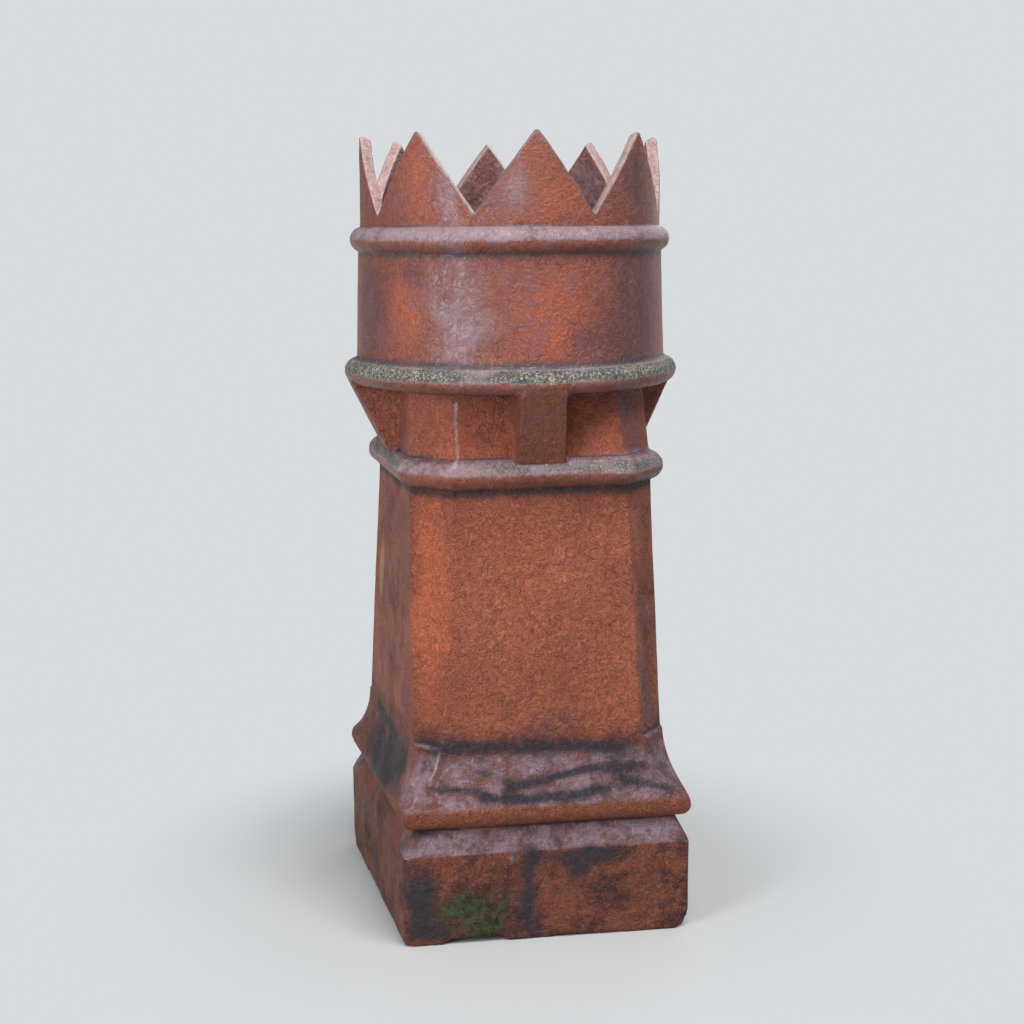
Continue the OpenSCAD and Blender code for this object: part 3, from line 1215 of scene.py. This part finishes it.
    def build(self, name: str) -> bpy.types.Object:
        """Builds the pot's mesh with its marks.

        Args:
            name: Name of the object.

        Returns:
            The object, in metres.
        """
        p, marks = self.shape()
        scale = (CAD_HIGH.z - CAD_LOW.z) / self.sizes.top
        mesh = bpy.data.meshes.new(name)
        rows, staves = p.shape[:2]
        index = np.arange(rows * staves).reshape(rows, staves)
        right, above = np.roll(index, -1, 1), np.roll(index, -1, 0)
        quads = np.stack([index, right, np.roll(above, -1, 1), above], -1).reshape(-1, 4)
        mesh.vertices.add(rows * staves)
        mesh.vertices.foreach_set("co", (p * scale).ravel())
        mesh.loops.add(quads.size)
        mesh.loops.foreach_set("vertex_index", quads.ravel())
        mesh.polygons.add(len(quads))
        mesh.polygons.foreach_set("loop_start", np.arange(0, quads.size, 4))
        mesh.polygons.foreach_set("use_smooth", np.ones(len(quads), bool))
        for mark, depth in marks.items():
            layer = mesh.attributes.new(mark.value, "FLOAT", "POINT")
            layer.data.foreach_set("value", np.clip(depth, 0, 1).astype(np.float32).ravel())
        mesh.update(calc_edges=True)
        mesh.validate()
        pot = bpy.data.objects.new(name, mesh)
        bpy.context.scene.collection.objects.link(pot)
        return pot

    def dress(self, pot: bpy.types.Object, clay: bpy.types.Material) -> None:
        """Gives the pot its finish and says what it stands for and rides on.

        Args:
            pot: The pot as built.
            clay: Its finish.
        """
        pot.data.materials.append(clay)
        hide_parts(POT_NODE)
        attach(pot, ROOT)




@dataclass
class Bench:
    """Lays out the nodes of one material."""

    material: bpy.types.Material

    def __post_init__(self) -> None:
        """Starts from a bare Principled shader."""
        self.material.use_nodes = True
        self.tree = self.material.node_tree
        self.tree.nodes.clear()
        self.out = self.tree.nodes.new("ShaderNodeOutputMaterial")
        self.shader = self.tree.nodes.new("ShaderNodeBsdfPrincipled")
        self.tree.links.new(self.shader.outputs["BSDF"], self.out.inputs["Surface"])
        self.place = self.tree.nodes.new("ShaderNodeTexCoord").outputs["Object"]

    def feed(self, socket: Socket, value: Socket | float | Colour) -> None:
        """Links a socket or sets its value.

        Args:
            socket: The socket.
            value: What it is linked to, or its number or colour.
        """
        if isinstance(value, bpy.types.NodeSocket):
            self.tree.links.new(value, socket)
        elif isinstance(value, tuple):
            socket.default_value = (*value, 1.0)
        else:
            socket.default_value = value

    def math(self, kind: str, a: Socket | float, b: Socket | float = 0.0, clamp: bool = False) -> Socket:
        """One arithmetic step.

        Args:
            kind: Blender's name of the operation.
            a: First value.
            b: Second value.
            clamp: Whether the result is kept from 0 to 1.

        Returns:
            The result.
        """
        node = self.tree.nodes.new("ShaderNodeMath")
        node.operation, node.use_clamp = kind, clamp
        self.feed(node.inputs[0], a)
        self.feed(node.inputs[1], b)
        return node.outputs[0]

    def noise(
        self, size_mm: float, detail: float = 3.0, rough: float = 0.55, twist: float = 0.0
    ) -> Socket:
        """Noise from 0 to 1 in lumps of a size in millimetres.

        Args:
            size_mm: Width of a lump.
            detail: Number of finer layers.
            rough: Strength of the finer layers.
            twist: How far the lumps are drawn out and curled.

        Returns:
            The noise.
        """
        mapping = self.tree.nodes.new("ShaderNodeMapping")
        self.feed(mapping.inputs["Vector"], self.place)
        per_metre = 1000.0 / size_mm
        mapping.inputs["Scale"].default_value = (per_metre, per_metre, per_metre)
        mapping.inputs["Location"].default_value = (size_mm * 0.37, size_mm * 0.11, size_mm * 0.73)
        node = self.tree.nodes.new("ShaderNodeTexNoise")
        self.feed(node.inputs["Vector"], mapping.outputs["Vector"])
        node.inputs["Scale"].default_value = 1.0
        node.inputs["Detail"].default_value = detail
        node.inputs["Roughness"].default_value = rough
        node.inputs["Distortion"].default_value = twist
        return node.outputs["Fac"]

    def ramp(self, value: Socket, low: float, high: float) -> Socket:
        """A smooth climb from 0 at low to 1 at high.

        Args:
            value: What climbs.
            low: Where it starts.
            high: Where it ends.

        Returns:
            The result, from 0 to 1.
        """
        node = self.tree.nodes.new("ShaderNodeMapRange")
        node.interpolation_type = "SMOOTHSTEP"
        self.feed(node.inputs["Value"], value)
        node.inputs["From Min"].default_value = low
        node.inputs["From Max"].default_value = high
        return node.outputs["Result"]

    def mark(self, mark: Mark) -> Socket:
        """The vertex attribute that holds a mark.

        Args:
            mark: The mark.

        Returns:
            Its depth.
        """
        node = self.tree.nodes.new("ShaderNodeAttribute")
        node.attribute_name = mark.value
        return node.outputs["Fac"]

    def broken(self, mark: Socket, speckle: Socket, ragged: float, low: float, high: float) -> Socket:
        """A mark whose edge is torn by noise.

        Args:
            mark: Depth of the mark.
            speckle: Noise that tears it.
            ragged: How much the noise counts.
            low: Depth at which it starts to show.
            high: Depth at which it covers.

        Returns:
            Cover from 0 to 1.
        """
        shifted = self.math("MULTIPLY", self.math("SUBTRACT", speckle, 0.5), ragged)
        return self.ramp(self.math("ADD", mark, shifted), low, high)

    def mix(
        self, share: Socket | float, a: Socket | Colour, b: Socket | Colour, kind: str = "MIX"
    ) -> Socket:
        """Mixes two colours.

        Args:
            share: How much of the second there is.
            a: First colour.
            b: Second colour.
            kind: Blender's name of the blend.

        Returns:
            The mixed colour.
        """
        node = self.tree.nodes.new("ShaderNodeMix")
        node.data_type, node.blend_type = "RGBA", kind
        self.feed(node.inputs["Factor"], share)
        self.feed(node.inputs["A"], a)
        self.feed(node.inputs["B"], b)
        return node.outputs["Result"]

    def blend(self, share: Socket, a: Socket | float, b: Socket | float) -> Socket:
        """Mixes two numbers.

        Args:
            share: How much of the second there is.
            a: First number.
            b: Second number.

        Returns:
            The mixed number.
        """
        node = self.tree.nodes.new("ShaderNodeMix")
        node.data_type = "FLOAT"
        self.feed(node.inputs["Factor"], share)
        self.feed(node.inputs["A"], a)
        self.feed(node.inputs["B"], b)
        return node.outputs["Result"]

    def bump(self, height: Socket, depth_mm: float, below: Socket | None = None) -> Socket:
        """Turns a height into a tilt of the surface.

        Args:
            height: From 0 to 1.
            depth_mm: What 1 stands for in millimetres.
            below: A bump that this one lies on.

        Returns:
            The normal.
        """
        node = self.tree.nodes.new("ShaderNodeBump")
        node.inputs["Strength"].default_value = 1.0
        node.inputs["Distance"].default_value = depth_mm / 1000.0
        self.feed(node.inputs["Height"], height)
        if below is not None:
            self.feed(node.inputs["Normal"], below)
        return node.outputs["Normal"]


@dataclass(frozen=True)
class FiredClay:
    """Terracotta as it left the kiln and as smoke, salt and weather have marked it since, with painted
    sheen, light and shade in its colour.
    """

    clay: Colour = (0.33, 0.1, 0.052)
    clay_deep: Colour = (0.23, 0.066, 0.038)
    bright_and_painted_light: Colour = (0.42, 0.108, 0.047)
    brown: Colour = (0.186, 0.056, 0.031)
    maroon: Colour = (0.062, 0.022, 0.02)
    plum: Colour = (0.14, 0.054, 0.064)
    pale: Colour = (0.5, 0.22, 0.15)
    char: Colour = (0.026, 0.026, 0.034)
    bloom_and_sheen: Colour = (0.235, 0.18, 0.22)
    bloom_and_sheen_deep: Colour = (0.11, 0.066, 0.068)
    ember: Colour = (0.2, 0.06, 0.03)
    ripe: Colour = (0.66, 0.53, 0.5)
    chalk: Colour = (0.36, 0.22, 0.13)
    worn: Colour = (0.5, 0.38, 0.36)
    soot: Colour = (0.03, 0.021, 0.018)
    crust: Colour = (0.036, 0.04, 0.047)
    lichen: Colour = (0.4, 0.36, 0.24)
    moss: Colour = (0.065, 0.08, 0.035)
    moss_deep: Colour = (0.025, 0.026, 0.017)

    def make(self, name: str) -> bpy.types.Material:
        """Makes the material.

        Args:
            name: Name of the material.

        Returns:
            The material.
        """
        b = Bench(bpy.data.materials.new(name))
        patch = b.noise(42, 5, 0.65)
        fleck = b.noise(8, 4, 0.65)
        grit = b.noise(1.7, 3, 0.7)
        wrinkle = b.noise(7, 5, 0.65, twist=1.2)
        glaze = b.broken(b.mark(Mark.GLAZE), b.noise(30, 4, 0.7), 0.9, 0.1, 0.9)
        lichen, soot = b.mark(Mark.LICHEN), b.mark(Mark.SOOT)
        moss = b.broken(b.mark(Mark.MOSS), b.noise(16, 5, 0.7), 1.5, 0.25, 0.8)
        colour = self.body(b, patch, fleck, grit)
        colour = b.mix(glaze, colour, self.ripe, "MULTIPLY")
        mottled = b.ramp(b.noise(36, 5, 0.7), 0.5, 0.62)
        flushed = b.math("MULTIPLY", mottled, b.math("MULTIPLY", glaze, 0.5))
        colour = b.mix(flushed, colour, self.plum)
        colour = self.films(b, colour, glaze, patch, fleck, grit)
        crust = b.broken(lichen, patch, 1.0, 0.25, 0.7)
        colour = b.mix(b.math("MULTIPLY", crust, 0.9), colour, self.crust)
        spots = b.math("MULTIPLY", lichen, b.ramp(b.noise(2.6, 4, 0.8), 0.5, 0.62))
        colour = b.mix(spots, colour, self.lichen)
        colour = b.mix(moss, colour, b.mix(b.ramp(fleck, 0.38, 0.62), self.moss_deep, self.moss))
        colour = b.mix(soot, colour, self.soot)
        b.feed(b.shader.inputs["Base Color"], colour)
        grown = b.math("MAXIMUM", lichen, b.math("MAXIMUM", moss, soot))
        rough = b.blend(glaze, b.blend(b.ramp(patch, 0.3, 0.7), 0.42, 0.6), 0.36)
        b.feed(b.shader.inputs["Roughness"], b.blend(grown, rough, 0.95))
        b.feed(b.shader.inputs["Specular IOR Level"], b.blend(glaze, 0.18, 0.5))
        relief = b.bump(patch, 1.5)
        crackle = b.math("MULTIPLY", b.ramp(wrinkle, 0.36, 0.64), b.blend(glaze, 1.0, 0.5))
        relief = b.bump(crackle, 1.3, relief)
        fine = b.math("ADD", b.math("MULTIPLY", b.ramp(grit, 0.3, 0.7), 0.45), b.ramp(fleck, 0.35, 0.65))
        relief = b.bump(b.math("MULTIPLY", fine, b.blend(glaze, 1.0, 0.2)), 0.7, relief)
        b.feed(b.shader.inputs["Normal"], relief)
        return b.material

    def body(self, b: Bench, patch: Socket, fleck: Socket, grit: Socket) -> Socket:
        """Colour of the clay as it was fired, before anything settled on it, with painted light on the
        neck and painted shade on the left side and on what faces the ground.

        Args:
            b: The material's bench.
            patch: Noise a hand wide.
            fleck: Noise a finger wide.
            grit: The finest noise.

        Returns:
            The colour.
        """
        cloud = b.noise(150, 3, 0.6)
        cast = b.noise(55, 6, 0.7)
        colour = b.mix(b.ramp(cloud, 0.35, 0.65), self.clay, self.clay_deep)
        # Orange flashing, with painted light on the neck.
        colour = b.mix(b.broken(b.mark(Mark.BRIGHT_AND_PAINTED_LIGHT), patch, 0.6, 0.1, 0.9), colour, self.bright_and_painted_light)
        spotted = b.math("MULTIPLY", b.noise(17, 5, 0.75), 0.4)
        blotch = b.math("ADD", b.math("MULTIPLY", cast, 0.6), spotted)
        shade = b.mix(b.ramp(blotch, 0.45, 0.58), self.brown, self.maroon)
        # The dark plinth, with painted shade on the left side and on what faces the ground.
        colour = b.mix(b.broken(b.mark(Mark.DARK), patch, 1.1, 0.1, 0.9), colour, shade)
        colour = b.mix(b.broken(b.mark(Mark.PLUM), cast, 1.2, 0.15, 0.85), colour, self.plum)
        colour = b.mix(b.broken(b.mark(Mark.EMBER), patch, 0.8, 0.2, 0.9), colour, self.ember)
        colour = b.mix(b.math("MULTIPLY", b.ramp(fleck, 0.48, 0.7), 0.4), colour, self.maroon)
        colour = b.mix(b.math("MULTIPLY", b.ramp(grit, 0.5, 0.64), 0.6), colour, self.maroon)
        return b.mix(b.math("MULTIPLY", b.ramp(grit, 0.48, 0.34), 0.22), colour, self.pale)

    def films(
        self, b: Bench, colour: Socket, glaze: Socket, patch: Socket, fleck: Socket, grit: Socket
    ) -> Socket:
        """Lays the thin films over the clay: the lilac film of painted sky reflection and sheen, wear,
        painted shade in hollows with dirt on the crown's edge, smoke and chalk.

        Args:
            b: The material's bench.
            colour: Colour of the clay.
            glaze: How glossy the clay is, which leaves the lilac film paler.
            patch: Noise a hand wide.
            fleck: Noise a finger wide.
            grit: The finest noise.

        Returns:
            The colour.
        """
        # Painted sky reflection and sheen, laid as a lilac film.
        bloom_and_sheen = b.broken(b.mark(Mark.BLOOM), patch, 0.9, 0.2, 0.9)
        paler = b.math("ADD", b.noise(24, 5, 0.7), b.math("MULTIPLY", glaze, 0.1))
        film = b.mix(b.ramp(paler, 0.4, 0.6), self.bloom_and_sheen_deep, self.bloom_and_sheen)
        film = b.mix(b.math("MULTIPLY", b.ramp(grit, 0.5, 0.7), 0.5), film, self.brown)
        colour = b.mix(b.math("MULTIPLY", bloom_and_sheen, 0.8), colour, film)
        worn = b.broken(b.mark(Mark.WORN), fleck, 0.9, 0.35, 1.0)
        colour = b.mix(b.math("MULTIPLY", worn, 0.6), colour, self.worn)
        # Painted shade in the hollows, in the char colour, with dirt along the crown's outer edge.
        crease_shade_and_dirt = b.broken(b.mark(Mark.CREASE), patch, 0.8, 0.25, 1.1)
        colour = b.mix(b.math("MULTIPLY", crease_shade_and_dirt, 0.8), colour, self.char)
        torn = b.math("ADD", b.math("MULTIPLY", patch, 0.65), b.math("MULTIPLY", fleck, 0.35))
        char = b.broken(b.mark(Mark.CHAR), torn, 1.3, 0.15, 0.85)
        colour = b.mix(b.math("MULTIPLY", char, 0.9), colour, self.char)
        chalk = b.broken(b.mark(Mark.CHALK), fleck, 0.7, 0.3, 0.9)
        return b.mix(b.math("MULTIPLY", chalk, 0.7), colour, self.chalk)


@dataclass(frozen=True)
class Crumbly:
    """A dry growth in two colours that change from crumb to crumb."""

    first: Colour
    second: Colour
    lump_mm: float

    def make(self, name: str) -> bpy.types.Material:
        """Makes the material.

        Args:
            name: Name of the material.

        Returns:
            The material.
        """
        b = Bench(bpy.data.materials.new(name))
        share = b.ramp(b.noise(self.lump_mm, 4, 0.75), 0.42, 0.58)
        b.feed(b.shader.inputs["Base Color"], b.mix(share, self.first, self.second))
        b.shader.inputs["Roughness"].default_value = 0.95
        b.shader.inputs["Specular IOR Level"].default_value = 0.15
        b.feed(b.shader.inputs["Normal"], b.bump(b.noise(0.8, 2, 0.6), 0.3))
        return b.material


@dataclass(frozen=True)
class Growth:
    """Crumbs that grow out of the pot wherever one of its marks is deep.

    They thin out with a power of the mark's depth, and each is between least and most of the full size.
    """

    name: str
    mark: Mark
    per_metre2: float
    size_mm: float
    tall: float
    seed: int
    finish: Crumbly
    thinning: float = 1.6
    least: Colour = (0.35, 0.35, 0.4)
    most: Colour = (1.25, 1.25, 1.3)

    def tree(self, material: bpy.types.Material) -> bpy.types.NodeTree:
        """Lays out the Geometry Nodes that scatter the crumbs.

        Args:
            material: Finish of the crumbs.

        Returns:
            The node tree, with its sizes as named inputs.
        """
        tree = bpy.data.node_groups.new(self.name, "GeometryNodeTree")
        face = tree.interface
        face.new_socket(name="Geometry", in_out="INPUT", socket_type="NodeSocketGeometry")
        for name in ("Per square metre", "Size", "Height"):
            face.new_socket(name=name, in_out="INPUT", socket_type="NodeSocketFloat")
        face.new_socket(name="Seed", in_out="INPUT", socket_type="NodeSocketInt")
        face.new_socket(name="Geometry", in_out="OUTPUT", socket_type="NodeSocketGeometry")
        new, link = tree.nodes.new, tree.links.new
        given, result = new("NodeGroupInput"), new("NodeGroupOutput")
        depth = new("GeometryNodeInputNamedAttribute")
        depth.data_type = "FLOAT"
        depth.inputs["Name"].default_value = self.mark.value
        deep, dense = new("ShaderNodeMath"), new("ShaderNodeMath")
        deep.operation, dense.operation = "POWER", "MULTIPLY"
        deep.inputs[1].default_value = self.thinning
        link(depth.outputs["Attribute"], deep.inputs[0])
        link(deep.outputs[0], dense.inputs[0])
        link(given.outputs["Per square metre"], dense.inputs[1])
        spread = new("GeometryNodeDistributePointsOnFaces")
        link(given.outputs["Geometry"], spread.inputs["Mesh"])
        link(dense.outputs[0], spread.inputs["Density"])
        link(given.outputs["Seed"], spread.inputs["Seed"])
        crumb = new("GeometryNodeMeshIcoSphere")
        crumb.inputs["Radius"].default_value = 1.0
        crumb.inputs["Subdivisions"].default_value = 1
        varied = new("FunctionNodeRandomValue")
        shape, scale = new("ShaderNodeCombineXYZ"), new("ShaderNodeVectorMath")
        varied.data_type = "FLOAT_VECTOR"
        varied.inputs["Min"].default_value = self.least
        varied.inputs["Max"].default_value = self.most
        link(given.outputs["Seed"], varied.inputs["Seed"])
        link(given.outputs["Size"], shape.inputs["X"])
        link(given.outputs["Size"], shape.inputs["Y"])
        link(given.outputs["Height"], shape.inputs["Z"])
        scale.operation = "MULTIPLY"
        link(varied.outputs["Value"], scale.inputs[0])
        link(shape.outputs["Vector"], scale.inputs[1])
        place = new("GeometryNodeInstanceOnPoints")
        link(spread.outputs["Points"], place.inputs["Points"])
        link(crumb.outputs["Mesh"], place.inputs["Instance"])
        link(spread.outputs["Rotation"], place.inputs["Rotation"])
        link(scale.outputs["Vector"], place.inputs["Scale"])
        real, dressed = new("GeometryNodeRealizeInstances"), new("GeometryNodeSetMaterial")
        dressed.inputs["Material"].default_value = material
        link(place.outputs["Instances"], real.inputs["Geometry"])
        link(real.outputs["Geometry"], dressed.inputs["Geometry"])
        link(dressed.outputs["Geometry"], result.inputs["Geometry"])
        return tree

    def grow(self, pot: bpy.types.Object) -> bpy.types.Object:
        """Grows the crumbs on the pot and turns them into a plain mesh.

        Args:
            pot: The finished pot, which carries the marks.

        Returns:
            The crumbs as one object.
        """
        host = bpy.data.objects.new(f"{self.name}_host", pot.data)
        bpy.context.scene.collection.objects.link(host)
        modifier = host.modifiers.new(self.name, "NODES")
        modifier.node_group = self.tree(self.finish.make(self.name))
        sizes = {
            "Per square metre": self.per_metre2,
            "Size": self.size_mm / 1000,
            "Height": self.size_mm * self.tall / 1000,
            "Seed": self.seed,
        }
        for item in modifier.node_group.interface.items_tree:
            if item.in_out == "INPUT" and item.name in sizes:
                modifier[item.identifier] = sizes[item.name]
        graph = bpy.context.evaluated_depsgraph_get()
        mesh = bpy.data.meshes.new_from_object(host.evaluated_get(graph), depsgraph=graph)
        host.modifiers.remove(modifier)
        bpy.data.objects.remove(host)
        crumbs = bpy.data.objects.new(self.name, mesh)
        bpy.context.scene.collection.objects.link(crumbs)
        return crumbs


GROWTHS = (
    Growth(
        "roll_lichen",
        Mark.LICHEN,
        per_metre2=190000,
        size_mm=0.85,
        tall=0.6,
        seed=11,
        finish=Crumbly((0.29, 0.275, 0.185), (0.065, 0.074, 0.088), 9),
    ),
    Growth(
        "foot_moss",
        Mark.MOSS,
        per_metre2=220000,
        size_mm=0.75,
        tall=1.3,
        seed=23,
        finish=Crumbly((0.07, 0.1, 0.035), (0.03, 0.035, 0.018), 5),
    ),
)


@dataclass(frozen=True)
class Lamp:
    """A soft lamp with its place and size in metres, facing the pot's axis at the height it aims at."""

    name: str
    place: Colour
    aim_height: float
    size: tuple[float, float]
    watts: float

    def hang(self, colour: Colour) -> None:
        """Hangs the lamp.

        Args:
            colour: Colour of its light.
        """
        data = bpy.data.lights.new(self.name, "AREA")
        data.shape = "RECTANGLE"
        data.size, data.size_y = self.size
        data.energy, data.color = self.watts, colour
        lamp = bpy.data.objects.new(self.name, data)
        lamp.location = self.place
        aim = Vector((0.0, 0.0, self.aim_height))
        lamp.rotation_euler = (aim - Vector(self.place)).to_track_quat("-Z", "Y").to_euler()
        bpy.context.scene.collection.objects.link(lamp)


@dataclass(frozen=True)
class Studio:
    """The pale floor, the soft light and the camera.

    The glow says how far from the pot the floor starts to melt into the backdrop and where it has.
    """

    backdrop: Colour = (0.68, 0.71, 0.725)
    lens: float = 56.7
    pitch: float = 10.288
    roll: float = -0.344
    azimuth: float = -9.575
    distance: float = 1.7368
    eye_height: float = 0.7445
    lamplight: Colour = (1.0, 0.985, 0.99)
    ground: Colour = (0.42, 0.434, 0.44)
    horizon: float = 0.19
    zenith: float = 0.9
    floor_reach: float = 30.0
    glow: tuple[float, float] = (0.2, 0.52)
    lamps: tuple[Lamp, ...] = (
        Lamp("window", (-1.8, -1.4, 1.0), 0.75, (0.8, 1.7), 48.0),
        Lamp("overhead", (0.45, -1.25, 2.6), 0.45, (1.6, 1.3), 81.0),
        Lamp("back", (1.5, 2.3, 1.5), 0.4, (1.6, 1.6), 14.0),
    )

    def camera(self) -> None:
        """Sets up the camera a little above the pot's middle, turned slightly to its left side."""
        a, p, r = (math.radians(x) for x in (self.azimuth, self.pitch, self.roll))
        ahead = Vector((-math.sin(a) * math.cos(p), math.cos(a) * math.cos(p), -math.sin(p)))
        right = Vector((math.cos(a), math.sin(a), 0.0))
        up = right.cross(ahead)
        tilted = right * math.cos(r) + up * math.sin(r)
        upward = up * math.cos(r) - right * math.sin(r)
        turn = Matrix((tilted, upward, -ahead)).transposed().to_4x4()
        eye = Vector((math.sin(a) * self.distance, -math.cos(a) * self.distance, self.eye_height))
        data = bpy.data.cameras.new("camera")
        data.lens, data.sensor_width = self.lens, 36.0
        data.clip_start, data.clip_end = 0.05, 100.0
        view = bpy.data.objects.new("camera", data)
        view.matrix_world = Matrix.Translation(eye) @ turn
        bpy.context.scene.collection.objects.link(view)
        bpy.context.scene.camera = view

    def floor(self) -> bpy.types.Object:
        """Lays a round pale floor that melts into the backdrop.

        Returns:
            The floor.
        """
        mesh = bpy.data.meshes.new("floor")
        count, reach = 64, self.floor_reach
        around = [2 * math.pi * i / count for i in range(count)]
        rim = [(reach * math.cos(a), reach * math.sin(a), 0.0) for a in around]
        mesh.from_pydata(rim, [], [list(range(count))])
        floor = bpy.data.objects.new("floor", mesh)
        bpy.context.scene.collection.objects.link(floor)
        b = Bench(bpy.data.materials.new("floor"))
        b.feed(b.shader.inputs["Base Color"], self.ground)
        b.shader.inputs["Roughness"].default_value = 0.9
        b.shader.inputs["Specular IOR Level"].default_value = 0.1
        glow = b.tree.nodes.new("ShaderNodeEmission")
        glow.inputs["Color"].default_value = (*self.backdrop, 1.0)
        length = b.tree.nodes.new("ShaderNodeVectorMath")
        length.operation = "LENGTH"
        b.feed(length.inputs[0], b.place)
        blend = b.tree.nodes.new("ShaderNodeMixShader")
        b.feed(blend.inputs[0], b.ramp(length.outputs["Value"], *self.glow))
        b.tree.links.new(b.shader.outputs["BSDF"], blend.inputs[1])
        b.tree.links.new(glow.outputs["Emission"], blend.inputs[2])
        b.tree.links.new(blend.outputs["Shader"], b.out.inputs["Surface"])
        mesh.materials.append(b.material)
        return floor

    def sky(self) -> bpy.types.World:
        """A sky that is the plain backdrop to the camera and gives soft light from above.

        Returns:
            The world.
        """
        world = bpy.data.worlds.new("sky")
        world.use_nodes = True
        tree = world.node_tree
        tree.nodes.clear()
        out = tree.nodes.new("ShaderNodeOutputWorld")
        seen, cast = (tree.nodes.new("ShaderNodeBackground") for _ in range(2))
        for background in (seen, cast):
            background.inputs["Color"].default_value = (*self.backdrop, 1.0)
        place = tree.nodes.new("ShaderNodeTexCoord")
        split = tree.nodes.new("ShaderNodeSeparateXYZ")
        climb = tree.nodes.new("ShaderNodeMapRange")
        climb.inputs["From Min"].default_value = 0.0
        climb.inputs["From Max"].default_value = 1.0
        climb.inputs["To Min"].default_value = self.horizon
        climb.inputs["To Max"].default_value = self.zenith
        ray = tree.nodes.new("ShaderNodeLightPath")
        blend = tree.nodes.new("ShaderNodeMixShader")
        tree.links.new(place.outputs["Generated"], split.inputs["Vector"])
        tree.links.new(split.outputs["Z"], climb.inputs["Value"])
        tree.links.new(climb.outputs["Result"], cast.inputs["Strength"])
        tree.links.new(ray.outputs["Is Camera Ray"], blend.inputs[0])
        tree.links.new(cast.outputs["Background"], blend.inputs[1])
        tree.links.new(seen.outputs["Background"], blend.inputs[2])
        tree.links.new(blend.outputs["Shader"], out.inputs["Surface"])
        return world

    def light(self) -> None:
        """Lights the pot from above, from the left front, weakly from behind, and from the sky."""
        bpy.context.scene.world = self.sky()
        for lamp in self.lamps:
            lamp.hang(self.lamplight)

    def build(self) -> None:
        """Sets up the floor, the light and the camera."""
        self.floor()
        self.light()
        self.camera()
        bpy.context.scene.view_settings.view_transform = "Standard"


def main() -> None:
    """Builds the pot, dresses it and sets up the studio."""
    logging.basicConfig(level=logging.INFO, format="%(name)s: %(message)s")
    maker = Pot()
    pot = maker.build("fired_pot")
    maker.dress(pot, FiredClay().make("fired_clay"))
    LOG.info("%s: %d faces", pot.name, len(pot.data.polygons))
    for growth in GROWTHS:
        crumbs = growth.grow(pot)
        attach(crumbs, ROOT)
        LOG.info("%s: %d faces", crumbs.name, len(crumbs.data.polygons))
    Studio().build()


if __name__ == "__main__":
    main()
